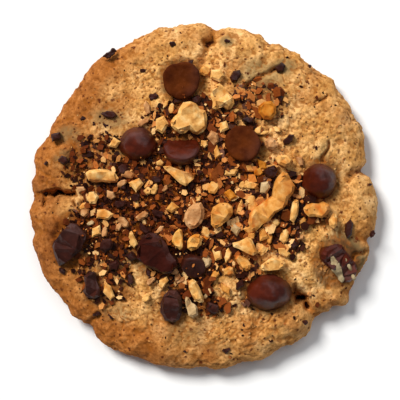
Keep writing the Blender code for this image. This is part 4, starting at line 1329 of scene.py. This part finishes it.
def add_to(joined, bm):
    """Put a finished mesh into a joined one."""
    single = bpy.data.meshes.new("single")
    bm.to_mesh(single)
    bm.free()
    joined.from_mesh(single)
    bpy.data.meshes.remove(single)


def set_side(mesh, attribute, side, strength):
    """Store a number that grows towards one side of a piece, for a painted sheen on chocolate and for a nut's
    browner side of papery coat and painted shade.
    """
    points = points_of(mesh)[:, :2]
    points = points - (points.max(axis=0) + points.min(axis=0)) / 2
    across = points @ np.array([math.cos(math.radians(side)), math.sin(math.radians(side))])
    set_values(mesh, attribute, strength * smooth_step(0.05, 0.85, across / np.abs(across).max()))


def make_toppings(finishes):
    """Chips, chunks and large nut pieces, each in place of its own solid."""
    for name, place, length, width, height, lift, lean, heading in CHIPS:
        bm = chip_mesh(length, width, height)
        bmesh.ops.transform(bm, matrix=placed(place, lift, heading, lean), verts=bm.verts)
        roughen(bm, CHIP_LAYERS)
        chip = mesh_object("baked_" + name, bm)
        # The marked side of each chip gets a highlight painted into its colour as sheen
        set_side(chip.data, "painted_sheen", *PAINTED_SHEEN[name])
        finish_piece(chip, finishes[LOOKS[name]], "chocolate", name)
    for index, (name, height, lift, lean, heading, outline) in enumerate(CHUNKS + NUTS):
        bm = shard_mesh(outline, height, random.Random(SHARD_SEED + index))
        bmesh.ops.transform(bm, matrix=placed(outline_middle(outline), lift, heading, lean), verts=bm.verts)
        if index < len(CHUNKS):
            give_points(bm, CHUNK_POINTS)
            roughen(bm, CHUNK_LAYERS)
            chunk = mesh_object("broken_" + name, bm)
            # The marked side of each chunk gets a highlight painted into its colour as sheen
            set_side(chunk.data, "painted_sheen", *PAINTED_SHEEN[name])
            finish_piece(chunk, finishes[LOOKS[name]], "chocolate", name)
            chunk.data.set_sharp_from_angle(angle=RIDGE_ANGLE)
        else:
            give_points(bm, NUT_POINTS)
            roughen(bm, NUT_LAYERS)
            nut = mesh_object("chopped_" + name, bm)
            set_values(nut.data, "hollow", hollows(nut.data))
            set_side(nut.data, "skin_and_shade", *SKINS_AND_SHADE.get(name, (0, 0.0)))
            finish_piece(nut, finishes[LOOKS[name]], "nut", name)
            nut.data.set_sharp_from_angle(angle=RIDGE_ANGLE)


def outline_reach(outline):
    """Half the longer side of the box that an outline fills."""
    return max(max(values) - min(values) for values in zip(*outline)) / 2


def spread_bits():
    """Places and sizes of the spread pieces, the largest first and none on another."""
    rng = random.Random(SPREAD_SEED)
    taken = [(place, length / 2) for place, length, width, turn, kind in PLACED_BITS]
    taken += [(place, SPREAD_REACH * length) for name, place, length, *rest in CHIPS]
    for name, height, lift, lean, heading, outline in CHUNKS + NUTS:
        taken.append((outline_middle(outline), 2 * SPREAD_REACH * outline_reach(outline)))
    spread = []
    for attempt in range(SPREAD_TRIES):
        if len(spread) == SPREAD_COUNT:
            break
        size = SPREAD_LARGEST + (SPREAD_SMALLEST - SPREAD_LARGEST) * len(spread) / SPREAD_COUNT
        angle = rng.uniform(0, 2 * math.pi)
        out = math.sqrt(rng.random())
        x = SPREAD_MIDDLE[0] + SPREAD_HALF_LENGTHS[0] * out * math.cos(angle)
        y = SPREAD_MIDDLE[1] + SPREAD_HALF_LENGTHS[1] * out * math.sin(angle)
        clear = all(math.dist((x, y), place) > reach + SPREAD_REACH * size for place, reach in taken)
        if clear:
            taken.append(((x, y), SPREAD_REACH * size))
            spread.append(((x, y), size, size * rng.uniform(*SPREAD_WIDTHS), rng.uniform(0, 180)))
    return spread


def make_bits(finishes):
    """Small nut and chocolate pieces, one joined piece for each kind."""
    kinds = {}
    rows = [(row[:4], row[4]) for row in PLACED_BITS]
    for index, row in enumerate(spread_bits()):
        kind_list = SPREAD_KINDS_LEFT if row[0][0] < LEFT_OF else SPREAD_KINDS
        rows.append((row, kind_list[index % len(kind_list)]))
    fused = len(rows)
    rows += [(row[:4], row[4]) for row in LOOSE_BITS]
    for index, ((place, length, width, turn), kind) in enumerate(rows):
        rng = random.Random(BIT_SEED + index)
        height = BIT_HEIGHT * width
        lean = rng.uniform(-BIT_LEAN, BIT_LEAN)
        if index < fused:
            outline = bit_outline(length, width, rng)
        else:
            outline = ragged_outline(length, width, rng, 0.4)
        bm = shard_mesh(outline, height, rng)
        turned = Matrix.Rotation(math.radians(turn), 4, "Z")
        lift = BIT_LIFT * height if index < fused else LOOSE_LIFT
        bmesh.ops.transform(bm, matrix=placed(place, lift, turn, lean) @ turned, verts=bm.verts)
        give_points(bm, BIT_POINTS)
        roughen(bm, BIT_LAYERS)
        if kind not in kinds:
            kinds[kind] = bmesh.new()
        add_to(kinds[kind], bm)
    for kind, bm in kinds.items():
        piece = mesh_object("small_pieces_" + kind, bm)
        set_values(piece.data, "hollow", hollows(piece.data))
        if kind == "chocolate":
            finish_piece(piece, finishes["cut"], "chocolate", "dough")
        else:
            finish_piece(piece, finishes[kind], "nut", "dough")
        piece.data.set_sharp_from_angle(angle=RIDGE_ANGLE)


def make_flakes(finishes):
    """Flakes of chocolate pressed flat into the dough, in one joined piece."""
    joined = bmesh.new()
    for index, (place, length, width, turn) in enumerate(FLAKES):
        rng = random.Random(FLAKE_SEED + index)
        height = 0.5 * width
        bm = shard_mesh(ragged_outline(length, width, rng, 0.3), height, rng)
        turned = Matrix.Rotation(math.radians(turn), 4, "Z")
        bmesh.ops.transform(bm, matrix=placed(place, -0.25 * height, turn, 0) @ turned, verts=bm.verts)
        give_points(bm, FLAKE_POINTS, 1)
        roughen(bm, FLAKE_LAYERS)
        add_to(joined, bm)
    finish_piece(mesh_object("chocolate_flakes", joined), finishes["cut"], "chocolate")


def make_smears(finishes):
    """Dough drawn over the chunk at the right rim, in one joined piece."""
    joined = bmesh.new()
    height, lift, lean, heading, outline = next(row[1:] for row in CHUNKS if row[0] == "chunk_right_rim")
    middle = outline_middle(outline)
    lay = placed(middle, lift + height / 2, heading, lean)
    for place, length, width, turn in DOUGH_STREAKS:
        bm = bmesh.new()
        bmesh.ops.create_icosphere(bm, subdivisions=5, radius=0.5)
        bmesh.ops.scale(bm, vec=(length, width, 0.8), verts=bm.verts)
        offset = Vector((place[0] - middle[0], place[1] - middle[1], 0))
        turned = Matrix.Rotation(math.radians(turn), 4, "Z")
        bmesh.ops.transform(bm, matrix=lay @ Matrix.Translation(offset) @ turned, verts=bm.verts)
        roughen(bm, STREAK_LAYERS)
        add_to(joined, bm)
    finish_piece(mesh_object("dough_smears", joined), finishes["smear"], "dough")


def grain_shapes():
    """A few jagged shards of size 1, which the meal repeats at its own sizes and turns."""
    shapes = []
    for index in range(GRAIN_SHAPES):
        rng = random.Random(GRAIN_SEED + index)
        flat = index % 3 > 0
        width = rng.uniform(0.3, 0.75) if flat else rng.uniform(0.6, 0.95)
        height = rng.uniform(0.2, 0.4) if flat else rng.uniform(0.4, 0.65)
        bm = shard_mesh(bit_outline(1.0, width, rng), height, rng, False)
        bmesh.ops.triangulate(bm, faces=bm.faces)
        points = [vert.co.copy() for vert in bm.verts]
        faces = [[vert.index for vert in face.verts] for face in bm.faces]
        bm.free()
        shapes.append((points, faces))
    return shapes


def join_grains(name, shapes, placings):
    """One mesh of many grains, each a shape moved by its matrix, with its tone stored on its points."""
    points = []
    faces = []
    tones = []
    for shape, matrix, tone in placings:
        start = len(points)
        shape_points, shape_faces = shapes[shape]
        points.extend(matrix @ point * MM for point in shape_points)
        faces.extend([start + corner for corner in face] for face in shape_faces)
        tones.extend([tone] * len(shape_points))
    mesh = bpy.data.meshes.new(name)
    mesh.from_pydata(points, [], faces)
    set_values(mesh, "tone", tones)
    made = bpy.data.objects.new(name, mesh)
    bpy.context.scene.collection.objects.link(made)
    return made


def tree_of(objects):
    """Search tree of several objects' surfaces, in metres."""
    points = []
    faces = []
    for item in objects:
        start = len(points)
        points.extend(vert.co.copy() for vert in item.data.vertices)
        faces.extend([start + corner for corner in polygon.vertices] for polygon in item.data.polygons)
    return BVHTree.FromPolygons(points, faces)


def meal(x, y):
    """How thickly meal lies at a single place."""
    return float(meal_cover(x, y))


def thin_meal(x, y):
    """The same, with a few grains past its edge."""
    return float(meal_cover(x, y)) * 0.9 + 0.03


def bare_dough(x, y):
    """How bare the dough is of meal and melted chocolate at a place, less so at the rim."""
    out = math.hypot(x, y) / RIM_RADIUS
    clean = 1 - min(2 * float(smear_cover(x, y)), 1)
    return (1.0 - float(meal_cover(x, y))) * float(smooth_step(0.95, 0.75, out)) * clean


def everywhere(x, y):
    """Grains lie at every place alike."""
    return 1.0


def crumbed(x, y):
    """How thickly crumbs lie on the chocolate at a place."""
    shares = [share for place, reach, share in CRUMBED if math.dist((x, y), place) < reach]
    return max(shares, default=0.02)


COVERS = {
    "meal": meal,
    "thin meal": thin_meal,
    "bare dough": bare_dough,
    "everywhere": everywhere,
    "crumbed": crumbed,
}


def drop_grains(rng, tree, shapes, large_tree, row):
    """Let grains fall where their cover wants them, onto the highest surface there."""
    name, count, sizes, where, sink, tones, clear_of_large = row
    cover = COVERS[where]
    size_start, size_full, dark_end = GRAIN_CHANGES
    placings = []
    for attempt in range(count * GRAIN_TRIES):
        if len(placings) == count:
            break
        x = rng.uniform(-RIM_RADIUS, RIM_RADIUS)
        y = rng.uniform(-RIM_RADIUS, RIM_RADIUS)
        chance = rng.random()
        grown = LEFT_GRAIN_SIZE + (1 - LEFT_GRAIN_SIZE) * float(smooth_step(size_start, size_full, x))
        largest = max(sizes[1] * grown, sizes[0])
        size = sizes[0] * (largest / sizes[0]) ** (rng.random() ** SMALL_GRAIN_SKEW)
        spin = [rng.uniform(0, 360) for axis in range(3)]
        shape = rng.randrange(len(shapes))
        lightened = float(smooth_step(size_start, dark_end, x))
        darkness = LEFT_DARKNESS + (RIGHT_DARKNESS - LEFT_DARKNESS) * lightened
        tone = tones[0] + (tones[1] - tones[0]) * rng.random() ** darkness
        if math.hypot(x, y) > rim_radius(math.atan2(y, x)) - RIM_KEPT_CLEAR or chance > cover(x, y):
            continue
        above = Vector((x * MM, y * MM, 0.05))
        down = Vector((0, 0, -1))
        if clear_of_large and large_tree.ray_cast(above, down)[0] is not None:
            continue
        hit = tree.ray_cast(above, down)[0]
        if hit is None:
            continue
        at = Matrix.Translation(Vector((x, y, hit.z / MM + sink * size)))
        turned = Matrix.Rotation(math.radians(spin[0]), 4, "Z")
        tipped = Matrix.Rotation(math.radians(spin[1] / 5 - 36), 4, "X")
        placings.append((shape, at @ turned @ tipped @ Matrix.Scale(size, 4), tone))
    return placings


def make_meal(dough, finishes):
    """Nut meal, chocolate crumbs, dough crumbs and specks, as thousands of real grains."""
    shapes = grain_shapes()
    large = [item for item in bpy.data.objects if item.name.startswith(("baked_", "broken_", "chopped_"))]
    large_tree = tree_of(large)
    ground = tree_of([dough])
    rng = random.Random(MEAL_SEED)
    made = {}
    for row in GROUND_GRAINS:
        made[row[0]] = join_grains(row[0], shapes, drop_grains(rng, ground, shapes, large_tree, row))
    heap = tree_of([dough, made["nut_meal"], made["chocolate_crumbs"]])
    upper = {}
    for row in UPPER_GRAINS:
        upper.setdefault(row[0], []).extend(drop_grains(rng, heap, shapes, large_tree, row))
    upper[DUST[0]] = drop_grains(rng, large_tree, shapes, large_tree, DUST)
    for name, placings in upper.items():
        made[name] = join_grains(name, shapes, placings)
    for name, piece in made.items():
        look, slot_name = GRAIN_LOOKS[name]
        finish_piece(piece, finishes[look], slot_name)
        piece.data.shade_flat()


def make_finishes():
    """Every finish of the cookie, under the name that the toppings' lists use."""
    finishes = {
        "dough": dough_finish(),
        "smear": smear_finish(),
        "meal": meal_finish(
            "nut_meal",
            [
                (0.0, seen(62, 25, 8)),
                (0.22, seen(104, 46, 15)),
                (0.42, seen(152, 78, 30)),
                (0.6, seen(200, 123, 60)),
                (0.78, seen(230, 166, 94)),
                (0.92, seen(242, 196, 132)),
                (1.0, seen(206, 112, 26)),
            ],
            0.55,
        ),
        "crumbs": meal_finish(
            "chocolate_crumbs",
            [(0.0, seen(34, 10, 4)), (0.7, seen(66, 32, 20)), (1.0, seen(112, 74, 58))],
            0.5,
        ),
        "dough_crumbs": meal_finish(
            "dough_crumbs",
            [(0.0, seen(168, 106, 52)), (0.5, seen(204, 148, 84)), (1.0, seen(230, 180, 118))],
            0.85,
        ),
    }
    for name, (main, dark, *values) in CHOCOLATE_TONES.items():
        finishes[name] = chocolate_finish("chocolate_" + name, seen(*main), seen(*dark), *values)
    for name, tones in NUT_TONES.items():
        finishes[name] = nut_finish("nut_" + name, *[seen(*tone) for tone in tones])
    return finishes


def make_floor():
    """Plain white floor, far wider than the cookie."""
    bm = bmesh.new()
    bmesh.ops.create_grid(bm, x_segments=1, y_segments=1, size=1500.0)
    floor = mesh_object("floor", bm)
    white = Finish("floor_white", 0.9, 0.1)
    shade = white.ramp(white.noise(300.0), [(0.3, (0.93, 0.93, 0.93, 1)), (0.7, (0.95, 0.95, 0.95, 1))])
    floor.data.materials.append(white.colour(shade))


def make_sun(name, azimuth, elevation, spread, strength, colour, glossy, diffuse):
    """Soft light from far away, which may be left out of mirrored light or of the light on matte surfaces."""
    light = bpy.data.lights.new(name, "SUN")
    light.energy = strength
    light.angle = math.radians(spread)
    light.color = colour
    lamp = bpy.data.objects.new(name, light)
    lamp.rotation_euler = (0, math.radians(90 - elevation), math.radians(azimuth))
    lamp.visible_glossy = glossy
    lamp.visible_diffuse = diffuse
    bpy.context.scene.collection.objects.link(lamp)


def make_studio():
    """Plain pale floor, soft lights and a camera that looks straight down."""
    make_floor()
    for name, azimuth, elevation, spread, strength, colour, glossy, diffuse in SUNS:
        make_sun(name, azimuth, elevation, spread, strength, colour, glossy, diffuse)
    world = bpy.data.worlds.new("studio")
    world.use_nodes = True
    world.node_tree.nodes["Background"].inputs["Color"].default_value = SKY_COLOUR
    world.node_tree.nodes["Background"].inputs["Strength"].default_value = SKY_STRENGTH
    bpy.context.scene.world = world
    bpy.context.scene.view_settings.view_transform = "Standard"
    camera = bpy.data.cameras.new("camera")
    camera.lens = LENS
    camera.sensor_width = SENSOR
    seat = bpy.data.objects.new("camera", camera)
    distance = FRAME_PIXELS * PIXEL * LENS / SENSOR
    seat.location = (FRAME_MIDDLE[0] * MM, FRAME_MIDDLE[1] * MM, (distance + WIDEST_HEIGHT) * MM)
    bpy.context.scene.collection.objects.link(seat)
    bpy.context.scene.camera = seat


def main():
    finishes = make_finishes()
    dough = make_dough(finishes["dough"])
    make_toppings(finishes)
    make_bits(finishes)
    make_flakes(finishes)
    make_smears(finishes)
    make_meal(dough, finishes)
    make_studio()


main()
